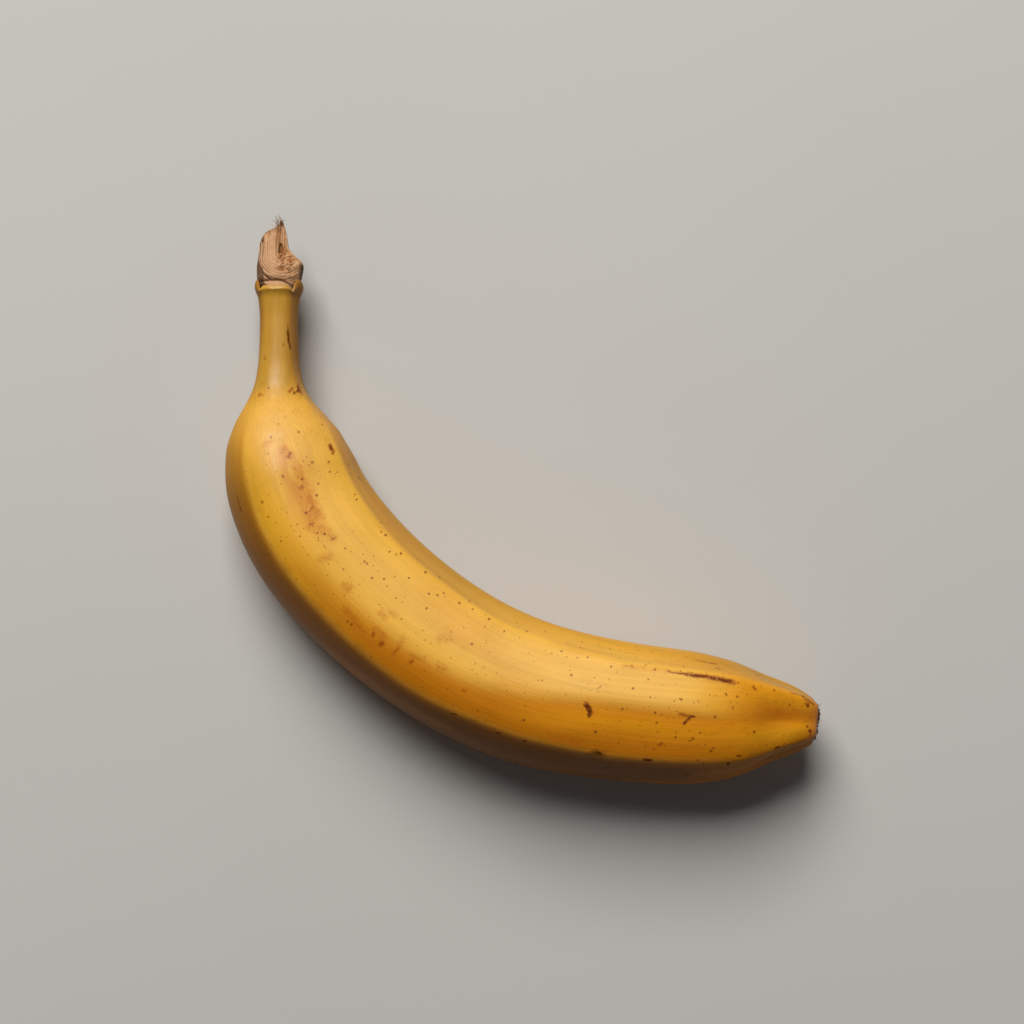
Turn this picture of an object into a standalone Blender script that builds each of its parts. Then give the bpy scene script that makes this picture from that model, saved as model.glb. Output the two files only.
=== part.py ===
"""A ripe banana lying on its side, torn from its bunch: one closed solid.

The fruit is one skin carried along a curved axis, from the peak of the torn
stalk to the blossom end. Lengths in the constants are millimetres; the mesh
is in metres. +X runs along the chord from the stalk to the blossom end, +Y
points to the hollow side of the curve and +Z is up. The origin is at the
bottom centre of the fruit's bounding box.
"""

import math

import bmesh
import bpy
import numpy as np

MM = 0.001

NODE_NAME = "banana"
RING_COUNT = 62
POINTS_PER_RING = 40
PATH_STEP = 0.25

# Seen from above, the axis starts straight through the stem, turns hard at
# the shoulder and bends gently from there to the blossom end.
# Each row: distance along the axis, heading from +X in degrees.
HEADING = (
    (0, -47.5),
    (38, -47.0),
    (54, -38.0),
    (64, -29.0),
    (75, -16.5),
    (86, -6.5),
    (96, -1.0),
    (117, 9.0),
    (138, 21.5),
    (149, 29.0),
    (160, 33.5),
    (181, 39.0),
    (197, 43.0),
    (212, 37.0),
)

# Half the width seen from above.
# Each row: distance along the axis, half width.
HALF_WIDTH = (
    (0.0, 0.8),
    (2.5, 1.8),
    (5.0, 2.7),
    (10.5, 5.4),
    (14.0, 5.4),
    (16.3, 5.9),
    (19.0, 5.0),
    (24.0, 4.6),
    (33.0, 4.9),
    (39.0, 5.8),
    (43.5, 7.8),
    (48.5, 11.3),
    (54.0, 14.2),
    (64.0, 16.4),
    (86.0, 17.5),
    (137.0, 17.6),
    (170.0, 16.7),
    (181.0, 16.2),
    (191.0, 14.4),
    (201.5, 10.2),
    (207.0, 8.0),
    (210.5, 6.0),
    (212.3, 4.6),
)

# The torn stalk leans off the axis: it was ripped away on the hollow side.
# Each row: distance along the axis, shift towards the hollow side.
SIDE_SHIFT = (
    (0.0, 0.8),
    (2.5, -0.5),
    (5.0, -1.2),
    (7.5, -0.8),
    (10.5, 0.4),
    (14.0, 0.0),
    (212.3, 0.0),
)

# Height as a share of the width. The tear also takes the top off the stalk.
# Each row: distance along the axis, half height over half width.
HEIGHT_RATIO = (
    (0.0, 0.75),
    (10.5, 0.85),
    (16.3, 0.96),
    (39.0, 0.97),
    (86.0, 0.965),
    (170.0, 0.965),
    (212.3, 1.0),
)

# Height of the axis above the resting surface. Along the body the skin would
# reach up to half a millimetre below that surface, and is pressed flat there.
# Each row: distance along the axis, height.
AXIS_HEIGHT = (
    (0.0, 10.2),
    (7.5, 11.0),
    (16.3, 12.8),
    (39.0, 13.6),
    (54.0, 14.6),
    (64.0, 15.7),
    (86.0, 16.4),
    (137.0, 16.5),
    (170.0, 15.8),
    (191.0, 15.2),
    (212.3, 14.8),
)

# The skin has flat sides between soft ridges. Each angle is the outward
# direction of one side, measured from +Z towards the hollow side.
SIDE_ANGLES = (22, -25, -80, -135, 180, 135, 88)

# How tightly the sides meet at the ridges: higher is sharper.
# Each row: distance along the axis, sharpness.
RIDGE_SHARPNESS = (
    (0.0, 5.0),
    (39.0, 7.0),
    (75.0, 14.0),
    (180.0, 16.0),
    (212.3, 9.0),
)

# The blossom end is a small disc that domes slightly beyond the last ring.
BLOSSOM_DOME = 0.9

PEEL_COLOUR = (0.62, 0.33, 0.03, 1.0)
PEEL_ROUGHNESS = 0.42


def smooth_values(rows, at):
    """Reads a smooth curve through the rows at the distances given.

    Each stretch is a cubic whose end slopes are the harmonic mean of the
    slopes on both sides, so the curve never overshoots a row's value.
    """
    knots, values = np.array(rows, dtype=float).T
    steps = np.diff(knots)
    slopes = np.diff(values) / steps
    tangents = np.zeros_like(values)
    same_way = slopes[:-1] * slopes[1:] > 0
    pairs = slopes[:-1][same_way], slopes[1:][same_way]
    tangents[1:-1][same_way] = 2 * pairs[0] * pairs[1] / (pairs[0] + pairs[1])
    tangents[0] = slopes[0]
    tangents[-1] = slopes[-1]
    left = np.clip(np.searchsorted(knots, at, side="right") - 1, 0, len(steps) - 1)
    t = (at - knots[left]) / steps[left]
    rise = steps[left]
    return (
        (2 * t**3 - 3 * t**2 + 1) * values[left]
        + (t**3 - 2 * t**2 + t) * rise * tangents[left]
        + (3 * t**2 - 2 * t**3) * values[left + 1]
        + (t**3 - t**2) * rise * tangents[left + 1]
    )


def axis_points(at):
    """Returns the axis's points and side directions at the distances given.

    The plan view is the running sum of short steps along the heading.
    """
    length = HEADING[-1][0]
    fine = np.arange(0.0, length + 2 * PATH_STEP, PATH_STEP)
    heading = np.radians(smooth_values(HEADING, np.minimum(fine, length)))
    plan = np.cumsum(np.stack([np.cos(heading), np.sin(heading)], axis=1) * PATH_STEP, axis=0)
    x = np.interp(at, fine, plan[:, 0])
    y = np.interp(at, fine, plan[:, 1])
    z = smooth_values(AXIS_HEIGHT, at)
    points = np.stack([x, y, z], axis=1)
    turn = np.interp(at, fine, heading)
    sides = np.stack([-np.sin(turn), np.cos(turn), np.zeros_like(turn)], axis=1)
    return points, sides


def ring_distances():
    """Returns where the rings sit: closer together where the width changes fast."""
    length = HALF_WIDTH[-1][0]
    fine = np.linspace(0.0, length, 2000)
    steepness = np.abs(np.gradient(smooth_values(HALF_WIDTH, fine), fine))
    need = np.cumsum(1.0 + 2.5 * np.minimum(steepness, 1.0))
    need = (need - need[0]) / (need[-1] - need[0])
    return np.interp(np.linspace(0.0, 1.0, RING_COUNT), need, fine)


def section_outline(sharpness):
    """Returns one section's outline as side and up offsets between -1 and 1.

    The radius in each direction is the soft minimum of the distances to the
    flat sides. The outline is then stretched to fill the square.
    """
    angles = np.linspace(0.0, 2 * math.pi, POINTS_PER_RING, endpoint=False)
    towards = np.cos(angles[:, None] - np.radians(SIDE_ANGLES)[None, :])
    radius = np.sum(np.maximum(towards, 0.0) ** sharpness, axis=1) ** (-1.0 / sharpness)
    outline = np.stack([radius * np.sin(angles), radius * np.cos(angles)], axis=1)
    low = outline.min(axis=0)
    high = outline.max(axis=0)
    return 2 * (outline - low) / (high - low) - 1


def banana_rings():
    """Returns the points of every ring, in millimetres, resting on z = 0."""
    at = ring_distances()
    points, sides = axis_points(at)
    tangents = np.gradient(points, at, axis=0)
    tangents /= np.linalg.norm(tangents, axis=1)[:, None]
    ups = np.cross(tangents, sides)
    half_width = smooth_values(HALF_WIDTH, at)
    half_height = half_width * smooth_values(HEIGHT_RATIO, at)
    shift = smooth_values(SIDE_SHIFT, at)
    sharpness = smooth_values(RIDGE_SHARPNESS, at)
    rings = []
    for i in range(RING_COUNT):
        outline = section_outline(sharpness[i])
        centre = points[i] + sides[i] * shift[i]
        across = sides[i] * half_width[i]
        upward = ups[i] * half_height[i]
        rings.append(centre + outline[:, :1] * across + outline[:, 1:] * upward)
    rings = np.array(rings)
    rings[:, :, 2] = np.maximum(rings[:, :, 2], 0.0)
    return rings, tangents[-1]


def add_ring(bm, ring):
    """Adds a closed loop of edges through the ring's points."""
    verts = [bm.verts.new(point) for point in ring]
    edges = [bm.edges.new((verts[i - 1], verts[i])) for i in range(len(verts))]
    return verts, edges


def close_end(bm, verts, apex):
    """Closes a ring with a fan of triangles that meet at the apex."""
    top = bm.verts.new(apex)
    for i in range(len(verts)):
        bm.faces.new((verts[i - 1], verts[i], top))


def centred(rings, last_apex):
    """Moves the fruit so that its box is centred on the origin in plan."""
    outside = np.vstack([rings.reshape(-1, 3), last_apex])
    offset = (outside.min(axis=0) + outside.max(axis=0)) / 2
    offset[2] = 0.0
    return rings - offset, last_apex - offset


def build_banana():
    """Builds the banana's mesh: rings bridged one to the next, ends closed."""
    rings, end_direction = banana_rings()
    apex = rings[-1].mean(axis=0) + end_direction * BLOSSOM_DOME
    rings, apex = centred(rings, apex)
    bm = bmesh.new()
    loops = [add_ring(bm, ring * MM) for ring in rings]
    for first, second in zip(loops, loops[1:]):
        bmesh.ops.bridge_loops(bm, edges=first[1] + second[1])
    close_end(bm, loops[0][0], rings[0].mean(axis=0) * MM)
    close_end(bm, loops[-1][0], apex * MM)
    bmesh.ops.recalc_face_normals(bm, faces=bm.faces)
    mesh = bpy.data.meshes.new(NODE_NAME)
    bm.to_mesh(mesh)
    bm.free()
    mesh.shade_smooth()
    return mesh


def peel_material():
    """Makes the ripe yellow peel's material."""
    material = bpy.data.materials.new("banana_peel")
    material.use_nodes = True
    shader = material.node_tree.nodes["Principled BSDF"]
    shader.inputs["Base Color"].default_value = PEEL_COLOUR
    shader.inputs["Roughness"].default_value = PEEL_ROUGHNESS
    shader.inputs["Metallic"].default_value = 0.0
    return material


def clear_scene():
    """Removes the objects that a new file starts with."""
    for obj in list(bpy.data.objects):
        bpy.data.objects.remove(obj, do_unlink=True)


def main():
    """Builds the banana and links it to the scene."""
    clear_scene()
    mesh = build_banana()
    mesh.materials.append(peel_material())
    banana = bpy.data.objects.new(NODE_NAME, mesh)
    bpy.context.scene.collection.objects.link(banana)


main()
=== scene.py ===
"""The looks of a ripe banana that lies on its side, torn from its bunch.

The fruit is described along its own axis: distance from the peak of the torn
stalk, offset across towards the hollow side, and offset upward, all in
millimetres. FruitAxis turns those into places inside the frame's box.
"""
import itertools
import logging
import math
from dataclasses import dataclass, field
from enum import Enum

import bpy
import numpy as np
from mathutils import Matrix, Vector


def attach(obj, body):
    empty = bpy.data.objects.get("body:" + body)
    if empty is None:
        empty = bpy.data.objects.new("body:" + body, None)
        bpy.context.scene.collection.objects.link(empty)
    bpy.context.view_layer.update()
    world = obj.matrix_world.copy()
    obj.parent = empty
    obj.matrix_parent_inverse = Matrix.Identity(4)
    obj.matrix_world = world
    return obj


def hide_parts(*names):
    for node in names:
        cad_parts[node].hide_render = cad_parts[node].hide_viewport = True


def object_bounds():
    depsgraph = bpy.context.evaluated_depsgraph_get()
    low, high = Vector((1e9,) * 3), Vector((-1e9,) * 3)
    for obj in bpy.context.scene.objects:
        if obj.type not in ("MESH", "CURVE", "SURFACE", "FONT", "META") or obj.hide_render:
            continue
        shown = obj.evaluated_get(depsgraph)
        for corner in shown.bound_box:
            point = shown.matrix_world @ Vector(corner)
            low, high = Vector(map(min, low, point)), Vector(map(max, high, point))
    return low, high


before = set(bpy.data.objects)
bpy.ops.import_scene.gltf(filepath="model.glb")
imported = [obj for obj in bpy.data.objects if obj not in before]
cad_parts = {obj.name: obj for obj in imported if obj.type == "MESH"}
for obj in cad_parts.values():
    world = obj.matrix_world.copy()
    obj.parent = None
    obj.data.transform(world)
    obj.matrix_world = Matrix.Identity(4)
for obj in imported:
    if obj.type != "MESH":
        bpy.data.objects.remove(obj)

CAD_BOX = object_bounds()
LOG = logging.getLogger("banana")
BODY = "root"
CAD_NODE = "banana"
MM = 0.001
SEED = 7
PEEL_MAP = "OFBake"

Colour = tuple[float, float, float]
Rows = tuple[tuple[float, float], ...]


# ---------------------------------------------------------------- numbers


@dataclass(frozen=True)
class Course:
    """A value that changes smoothly along a line, read between a few rows.

    Each row is a place on the line and the value there. Every stretch is a
    cubic whose end slopes are the harmonic mean of the slopes on both sides,
    so the curve passes through the rows and never overshoots them.
    """

    rows: Rows

    def at(self, place: np.ndarray) -> np.ndarray:
        """Reads the value at each place.

        Args:
            place: Places on the line, in any array shape.

        Returns:
            The values there, held constant beyond both ends.
        """
        knots, values = np.array(self.rows, dtype=float).T
        place = np.clip(place, knots[0], knots[-1])
        steps = np.diff(knots)
        slopes = np.diff(values) / steps
        tangents = np.zeros_like(values)
        same_way = slopes[:-1] * slopes[1:] > 0
        before = slopes[:-1][same_way]
        after = slopes[1:][same_way]
        tangents[1:-1][same_way] = 2 * before * after / (before + after)
        tangents[0] = slopes[0]
        tangents[-1] = slopes[-1]
        left = np.clip(np.searchsorted(knots, place, side="right") - 1, 0, len(steps) - 1)
        t = (place - knots[left]) / steps[left]
        rise = steps[left]
        return (
            (2 * t**3 - 3 * t**2 + 1) * values[left]
            + (t**3 - 2 * t**2 + t) * rise * tangents[left]
            + (3 * t**2 - 2 * t**3) * values[left + 1]
            + (t**3 - t**2) * rise * tangents[left + 1]
        )


ROUND = Course(((16, 1.0), (212, 1.0)))


def cell_value(cells: np.ndarray, seed: int) -> np.ndarray:
    """Returns a repeatable number from 0 to 1 for each whole-number cell.

    The three cell numbers are multiplied by large odd numbers, mixed by
    shifts and products, and cut to 24 bits.
    """
    cells = cells.astype(np.int64)
    mixed = cells[..., 0] * 73856093 + cells[..., 1] * 19349663 + cells[..., 2] * 83492791
    mixed = (mixed + seed * 2654435761) & 0xFFFFFFFF
    mixed = ((mixed ^ (mixed >> 15)) * 2246822519) & 0xFFFFFFFF
    mixed = ((mixed ^ (mixed >> 13)) * 3266489917) & 0xFFFFFFFF
    return (mixed >> 8) / float(1 << 24)


def noise(points: np.ndarray, seed: int) -> np.ndarray:
    """Returns smooth noise from -1 to 1 at each point.

    The eight cell values round a point are mixed with smoothed weights.

    Args:
        points: Places in noise cells, with three numbers on the last axis.
        seed: Picks one noise out of many.

    Returns:
        The noise, with the last axis gone.
    """
    base = np.floor(points)
    part = points - base
    part = part * part * (3 - 2 * part)
    total = np.zeros(points.shape[:-1])
    for corner in itertools.product((0, 1), repeat=3):
        weight = np.prod(np.where(np.array(corner) == 1, part, 1 - part), axis=-1)
        total += weight * cell_value(base + np.array(corner), seed)
    return 2 * total - 1


def rough_noise(points: np.ndarray, seed: int, octaves: int) -> np.ndarray:
    """Adds up noises, each twice as fine and about half as strong as the last."""
    total = np.zeros(points.shape[:-1])
    for octave in range(octaves):
        total += noise(points * 2.0**octave, seed + octave) * 0.55**octave
    return total


def smooth_step(value: np.ndarray, low: float, high: float) -> np.ndarray:
    """Rises smoothly from 0 at low to 1 at high, or falls if low is the larger."""
    t = np.clip((value - low) / (high - low), 0.0, 1.0)
    return t * t * (3 - 2 * t)


def bell(value: np.ndarray, middle: float, spread: float) -> np.ndarray:
    """Returns a bell curve: 1 at the middle, about 0.6 one spread away."""
    return np.exp(-0.5 * ((value - middle) / spread) ** 2)


def blend_colours(first: np.ndarray, second: Colour, amount: np.ndarray) -> np.ndarray:
    """Mixes an array of colours towards one colour by an amount from 0 to 1."""
    share = np.clip(amount, 0.0, 1.0)[..., None]
    return first * (1 - share) + np.array(second) * share


# ------------------------------------------------------------------- axis


@dataclass
class FruitAxis:
    """The curved line through the middle of the fruit, fitted to the frame.

    Seen from above the heading runs straight through the stem, turns hard at
    the shoulder and bends gently to the blossom end. The plan view is the
    running sum of short steps along the heading. The whole is scaled and
    moved so that the fruit's outline fills the frame's box.
    """

    box: tuple[Vector, Vector]
    length: float = 212.3
    step: float = 0.25
    heading: Course = Course((
        (0, -47.5), (38, -47.0), (54, -38.0), (64, -29.0), (75, -16.5), (86, -6.5),
        (96, -1.0), (117, 9.0), (138, 21.5), (149, 29.0), (160, 33.5), (181, 39.0),
        (197, 43.0), (212, 37.0),
    ))
    height: Course = Course((
        (0.0, 10.2), (7.5, 11.0), (16.3, 12.8), (39.0, 13.6), (54.0, 14.6), (64.0, 15.7),
        (86.0, 16.4), (137.0, 16.5), (170.0, 15.8), (191.0, 15.2), (212.3, 14.8),
    ))
    half_width: Course = Course((
        (0.0, 0.8), (2.5, 1.8), (5.0, 2.7), (10.5, 5.4), (14.0, 5.4), (16.3, 5.9),
        (19.0, 5.0), (24.0, 4.6), (33.0, 4.9), (39.0, 5.8), (43.5, 7.8), (48.5, 11.3),
        (54.0, 14.2), (64.0, 16.4), (86.0, 17.5), (137.0, 17.6), (170.0, 16.7),
        (181.0, 16.2), (191.0, 14.4), (201.5, 10.2), (207.0, 8.0), (210.5, 6.0),
        (212.3, 4.6),
    ))
    height_ratio: Course = Course((
        (0.0, 0.75), (10.5, 0.85), (16.3, 0.96), (39.0, 0.97), (86.0, 0.965),
        (170.0, 0.965), (212.3, 1.0),
    ))
    side_shift: Course = Course((
        (0.0, 0.8), (2.5, -0.5), (5.0, -1.2), (7.5, -0.8), (10.5, 0.4), (14.0, 0.0), (212.3, 0.0),
    ))
    end_dome: float = 0.9
    fine: np.ndarray = field(init=False)
    plan: np.ndarray = field(init=False)
    turn: np.ndarray = field(init=False)
    slope: np.ndarray = field(init=False)
    scale: float = field(init=False, default=1.0)
    offset: np.ndarray = field(init=False)

    def __post_init__(self) -> None:
        """Sums the heading into a plan view and fits it to the box."""
        self.fine = np.arange(-4.0, self.length + 8.0, self.step)
        self.turn = np.radians(self.heading.at(self.fine))
        steps = np.stack([np.cos(self.turn), np.sin(self.turn)], axis=1) * self.step
        self.plan = np.cumsum(steps, axis=0)
        self.slope = np.gradient(self.height.at(self.fine), self.fine)
        self.offset = np.zeros(3)
        at = np.linspace(0.0, self.length, 400)
        reach = self.half_width.at(at)
        lean = self.side_shift.at(at)
        sides = [self.place(at, lean + side * reach, 0.0 * at) for side in (-1, 1)]
        outline = np.concatenate([*sides, self.place(np.array([self.length + self.end_dome]), 0.0, 0.0)])
        low, high = outline.min(axis=0), outline.max(axis=0)
        box_low, box_high = np.array(self.box[0]), np.array(self.box[1])
        self.scale = float((box_high[0] - box_low[0]) / (high[0] - low[0]))
        middle = (box_low + box_high) / 2 - (low + high) / 2 * self.scale
        self.offset = np.array([middle[0], middle[1], box_low[2]])

    def place(self, along: np.ndarray, across: np.ndarray, upward: np.ndarray) -> np.ndarray:
        """Turns places given along the fruit into places in the frame.

        The point on the axis is moved across by the side direction, which is
        level, and upward by the direction square to both axis and side.

        Args:
            along: Distance from the stalk's peak, in millimetres.
            across: Offset towards the hollow side, in millimetres.
            upward: Offset upward, in millimetres.

        Returns:
            Points in metres, with x, y, z on a new last axis.
        """
        along, across, upward = np.broadcast_arrays(along, across, upward)
        turn = np.interp(along, self.fine, self.turn)
        slope = np.interp(along, self.fine, self.slope)
        x = np.interp(along, self.fine, self.plan[:, 0])
        y = np.interp(along, self.fine, self.plan[:, 1])
        z = self.height.at(along)
        tilt = 1.0 / np.sqrt(1.0 + slope**2)
        x = x - np.sin(turn) * across - slope * tilt * np.cos(turn) * upward
        y = y + np.cos(turn) * across - slope * tilt * np.sin(turn) * upward
        z = z + tilt * upward
        return np.stack([x, y, z], axis=-1) * (MM * self.scale) + self.offset


@dataclass(frozen=True)
class Viewpoint:
    """The point above the fruit from which it is seen, looking straight down.

    Lengths are shares of the fruit's length.
    """

    box: tuple[Vector, Vector]
    lens: float = 85.0
    sensor: float = 36.0
    seen_width: float = 1.363
    centre_x: float = -0.0057
    centre_y: float = 0.1084

    def level(self) -> float:
        """Returns the height of the fruit's middle, in metres."""
        return (self.box[0].z + self.box[1].z) / 2

    def place(self) -> np.ndarray:
        """Returns the point, so high that the lens takes in the width wanted."""
        low, high = np.array(self.box[0]), np.array(self.box[1])
        length = high[0] - low[0]
        height = self.seen_width * length * self.lens / self.sensor
        return (low + high) / 2 + np.array([self.centre_x * length, self.centre_y * length, height])


# ----------------------------------------------------------------- meshes


@dataclass
class Piece:
    """A mesh on its way to becoming one piece of the fruit."""

    name: str
    points: np.ndarray
    faces: list[np.ndarray]
    corner_map: np.ndarray | None = None
    values: dict[str, np.ndarray] = field(default_factory=dict)

    def build(self, material: bpy.types.Material, slot: str) -> bpy.types.Object:
        """Makes the mesh object, dresses it and ties it to the frame.

        Args:
            material: The finish for every face.
            slot: A material slot's name; not used.

        Returns:
            The new object, at the origin.
        """
        mesh = bpy.data.meshes.new(self.name)
        mesh.vertices.add(len(self.points))
        mesh.vertices.foreach_set("co", self.points.astype(np.float32).ravel())
        corners = np.concatenate([group.ravel() for group in self.faces]).astype(np.int32)
        sizes = np.concatenate([np.full(len(group), group.shape[1]) for group in self.faces])
        starts = np.concatenate([[0], np.cumsum(sizes)[:-1]]).astype(np.int32)
        mesh.loops.add(len(corners))
        mesh.loops.foreach_set("vertex_index", corners)
        mesh.polygons.add(len(sizes))
        mesh.polygons.foreach_set("loop_start", starts)
        mesh.update(calc_edges=True)
        mesh.shade_smooth()
        if self.corner_map is not None:
            layer = mesh.uv_layers.new(name=PEEL_MAP)
            layer.data.foreach_set("uv", self.corner_map.astype(np.float32).ravel())
        for name, values in self.values.items():
            self.add_value(mesh, name, values)
        mesh.validate()
        mesh.materials.append(material)
        piece = bpy.data.objects.new(self.name, mesh)
        bpy.context.scene.collection.objects.link(piece)
        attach(piece, BODY)
        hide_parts(CAD_NODE)
        LOG.info("%s: %d points, %d faces", self.name, len(self.points), len(sizes))
        return piece

    @staticmethod
    def add_value(mesh: bpy.types.Mesh, name: str, values: np.ndarray) -> None:
        """Stores a number, a vector or a colour for every point of the mesh."""
        if values.ndim == 1:
            layer = mesh.attributes.new(name, "FLOAT", "POINT")
            layer.data.foreach_set("value", values.astype(np.float32))
            return
        layer = mesh.attributes.new(name, "FLOAT_VECTOR", "POINT")
        layer.data.foreach_set("vector", values.astype(np.float32).ravel())


def ring_faces(rows: int, columns: int) -> np.ndarray:
    """Returns the quads of a tube of rings, each ring closed on itself.

    Rings run away along the tube and their points run clockwise when seen
    from the start, so the faces look outward.
    """
    row = np.arange(rows - 1)[:, None]
    column = np.arange(columns)[None, :]
    after = (column + 1) % columns
    first = row * columns + column
    second = row * columns + after
    return np.stack([first, second, second + columns, first + columns], axis=-1).reshape(-1, 4)


def fan_faces(first: int, columns: int, pole: int, flip: bool) -> np.ndarray:
    """Returns the triangles that close a ring at a pole."""
    column = np.arange(columns)
    here = first + column
    after = first + (column + 1) % columns
    pole_column = np.full(columns, pole)
    if flip:
        return np.stack([after, here, pole_column], axis=-1)
    return np.stack([here, after, pole_column], axis=-1)


def closed_faces(rows: int, columns: int) -> list[np.ndarray]:
    """Returns the faces of a tube of rings whose two poles come after all its rings."""
    count = rows * columns
    return [
        ring_faces(rows, columns),
        fan_faces(0, columns, count, flip=True),
        fan_faces(count - columns, columns, count + 1, flip=False),
    ]


def ring_angles(count: int, start: float = -math.pi) -> np.ndarray:
    """Returns evenly spread angles once round a ring."""
    return start + 2 * math.pi * np.arange(count) / count


def grid_points(*parts: np.ndarray) -> np.ndarray:
    """Returns three grids of numbers as one list of points."""
    return np.stack(np.broadcast_arrays(*parts), axis=-1).reshape(-1, 3)


# -------------------------------------------------------------- materials


Socket = bpy.types.NodeSocket
Feed = bpy.types.NodeSocket | float | tuple


@dataclass(frozen=True)
class Texture:
    """A noise: how fine it is along, across and upward, per millimetre, and how detailed."""

    scale: tuple[float, float, float]
    detail: float
    lumps: float = 0.5


class Wiring:
    """Adds and joins the nodes of one material."""

    def __init__(self, name: str) -> None:
        """Starts a material with a Principled BSDF."""
        self.material = bpy.data.materials.new(name)
        self.material.use_nodes = True
        self.tree = self.material.node_tree
        self.shader = self.tree.nodes["Principled BSDF"]

    def node(self, kind: str, feeds: dict[str | int, Feed], **settings: object) -> bpy.types.Node:
        """Adds a node.

        Args:
            kind: The node's type without its ShaderNode prefix.
            feeds: What goes into each input: a socket or a constant.
            settings: Properties of the node.

        Returns:
            The node.
        """
        node = self.tree.nodes.new("ShaderNode" + kind)
        for name, value in settings.items():
            setattr(node, name, value)
        for key, value in feeds.items():
            self.feed(node.inputs[key], value)
        return node

    def feed(self, socket: Socket, value: Feed) -> None:
        """Links a socket into an input, or sets the input's constant."""
        if isinstance(value, bpy.types.NodeSocket):
            self.tree.links.new(value, socket)
        else:
            socket.default_value = value

    def math(self, operation: str, *values: Feed, clamp: bool = False) -> Socket:
        """Returns the result of a Math node."""
        feeds = dict(enumerate(values))
        return self.node("Math", feeds, operation=operation, use_clamp=clamp).outputs[0]

    def vector(self, operation: str, *values: Feed) -> Socket:
        """Returns the vector that a Vector Math node gives."""
        return self.node("VectorMath", dict(enumerate(values)), operation=operation).outputs["Vector"]

    def measure(self, operation: str, *values: Feed) -> Socket:
        """Returns the number that a Vector Math node gives."""
        return self.node("VectorMath", dict(enumerate(values)), operation=operation).outputs["Value"]

    def scaled(self, vector: Socket, factor: Feed) -> Socket:
        """Returns a vector or colour multiplied by one number."""
        node = self.node("VectorMath", {"Vector": vector, "Scale": factor}, operation="SCALE")
        return node.outputs["Vector"]

    def stretched(self, vector: Socket, factors: tuple[float, float, float]) -> Socket:
        """Returns a vector with each of its three numbers scaled."""
        return self.vector("MULTIPLY", vector, factors)

    def ramp(self, value: Socket, low: float, high: float) -> Socket:
        """Returns a smooth rise from 0 at low to 1 at high."""
        feeds = {"Value": value, "From Min": low, "From Max": high}
        return self.node("MapRange", feeds, interpolation_type="SMOOTHSTEP").outputs["Result"]

    def blend(self, amount: Feed, first: Feed, second: Feed) -> Socket:
        """Returns a mix of two colours."""
        node = self.node("Mix", {}, data_type="RGBA")
        self.feed(node.inputs[0], amount)
        self.feed(node.inputs[6], with_alpha(first))
        self.feed(node.inputs[7], with_alpha(second))
        return node.outputs[2]

    def noise(self, place: Socket, scale: float, detail: float = 2.0, lumps: float = 0.5) -> Socket:
        """Returns noise of about 0.2 to 0.8 at the place."""
        feeds = {"Vector": place, "Scale": scale, "Detail": detail, "Roughness": lumps}
        return self.node("TexNoise", feeds).outputs[0]

    def grain(self, place: Socket, grain: Texture) -> Socket:
        """Returns noise at the place, stretched as the texture says."""
        return self.noise(self.stretched(place, grain.scale), 1.0, grain.detail, grain.lumps)

    def loudest(self, shapes: list[Socket]) -> Socket:
        """Returns the largest of several numbers."""
        total = shapes[0]
        for shape in shapes[1:]:
            total = self.math("MAXIMUM", total, shape)
        return total

    def attribute(self, name: str, output: str = "Vector") -> Socket:
        """Returns a value that the mesh stores for its points."""
        return self.node("Attribute", {}, attribute_name=name).outputs[output]

    def finish(self, **feeds: Feed) -> bpy.types.Material:
        """Feeds the shader's inputs, named with underscores, and returns the material."""
        for name, value in feeds.items():
            socket = self.shader.inputs[name.replace("_", " ")]
            self.feed(socket, with_alpha(value) if "Color" in name else value)
        return self.material

    def bump(self, height: Socket, strength: float, distance: float) -> Socket:
        """Returns the normal that a height gives, with the distance in metres."""
        feeds = {"Height": height, "Strength": strength, "Distance": distance}
        return self.node("Bump", feeds).outputs["Normal"]


def with_alpha(value: Feed) -> Feed:
    """Adds an alpha of 1 to a plain colour and leaves everything else alone."""
    if isinstance(value, tuple) and len(value) == 3:
        return (*value, 1.0)
    return value


# ------------------------------------------------------------------- peel


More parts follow.
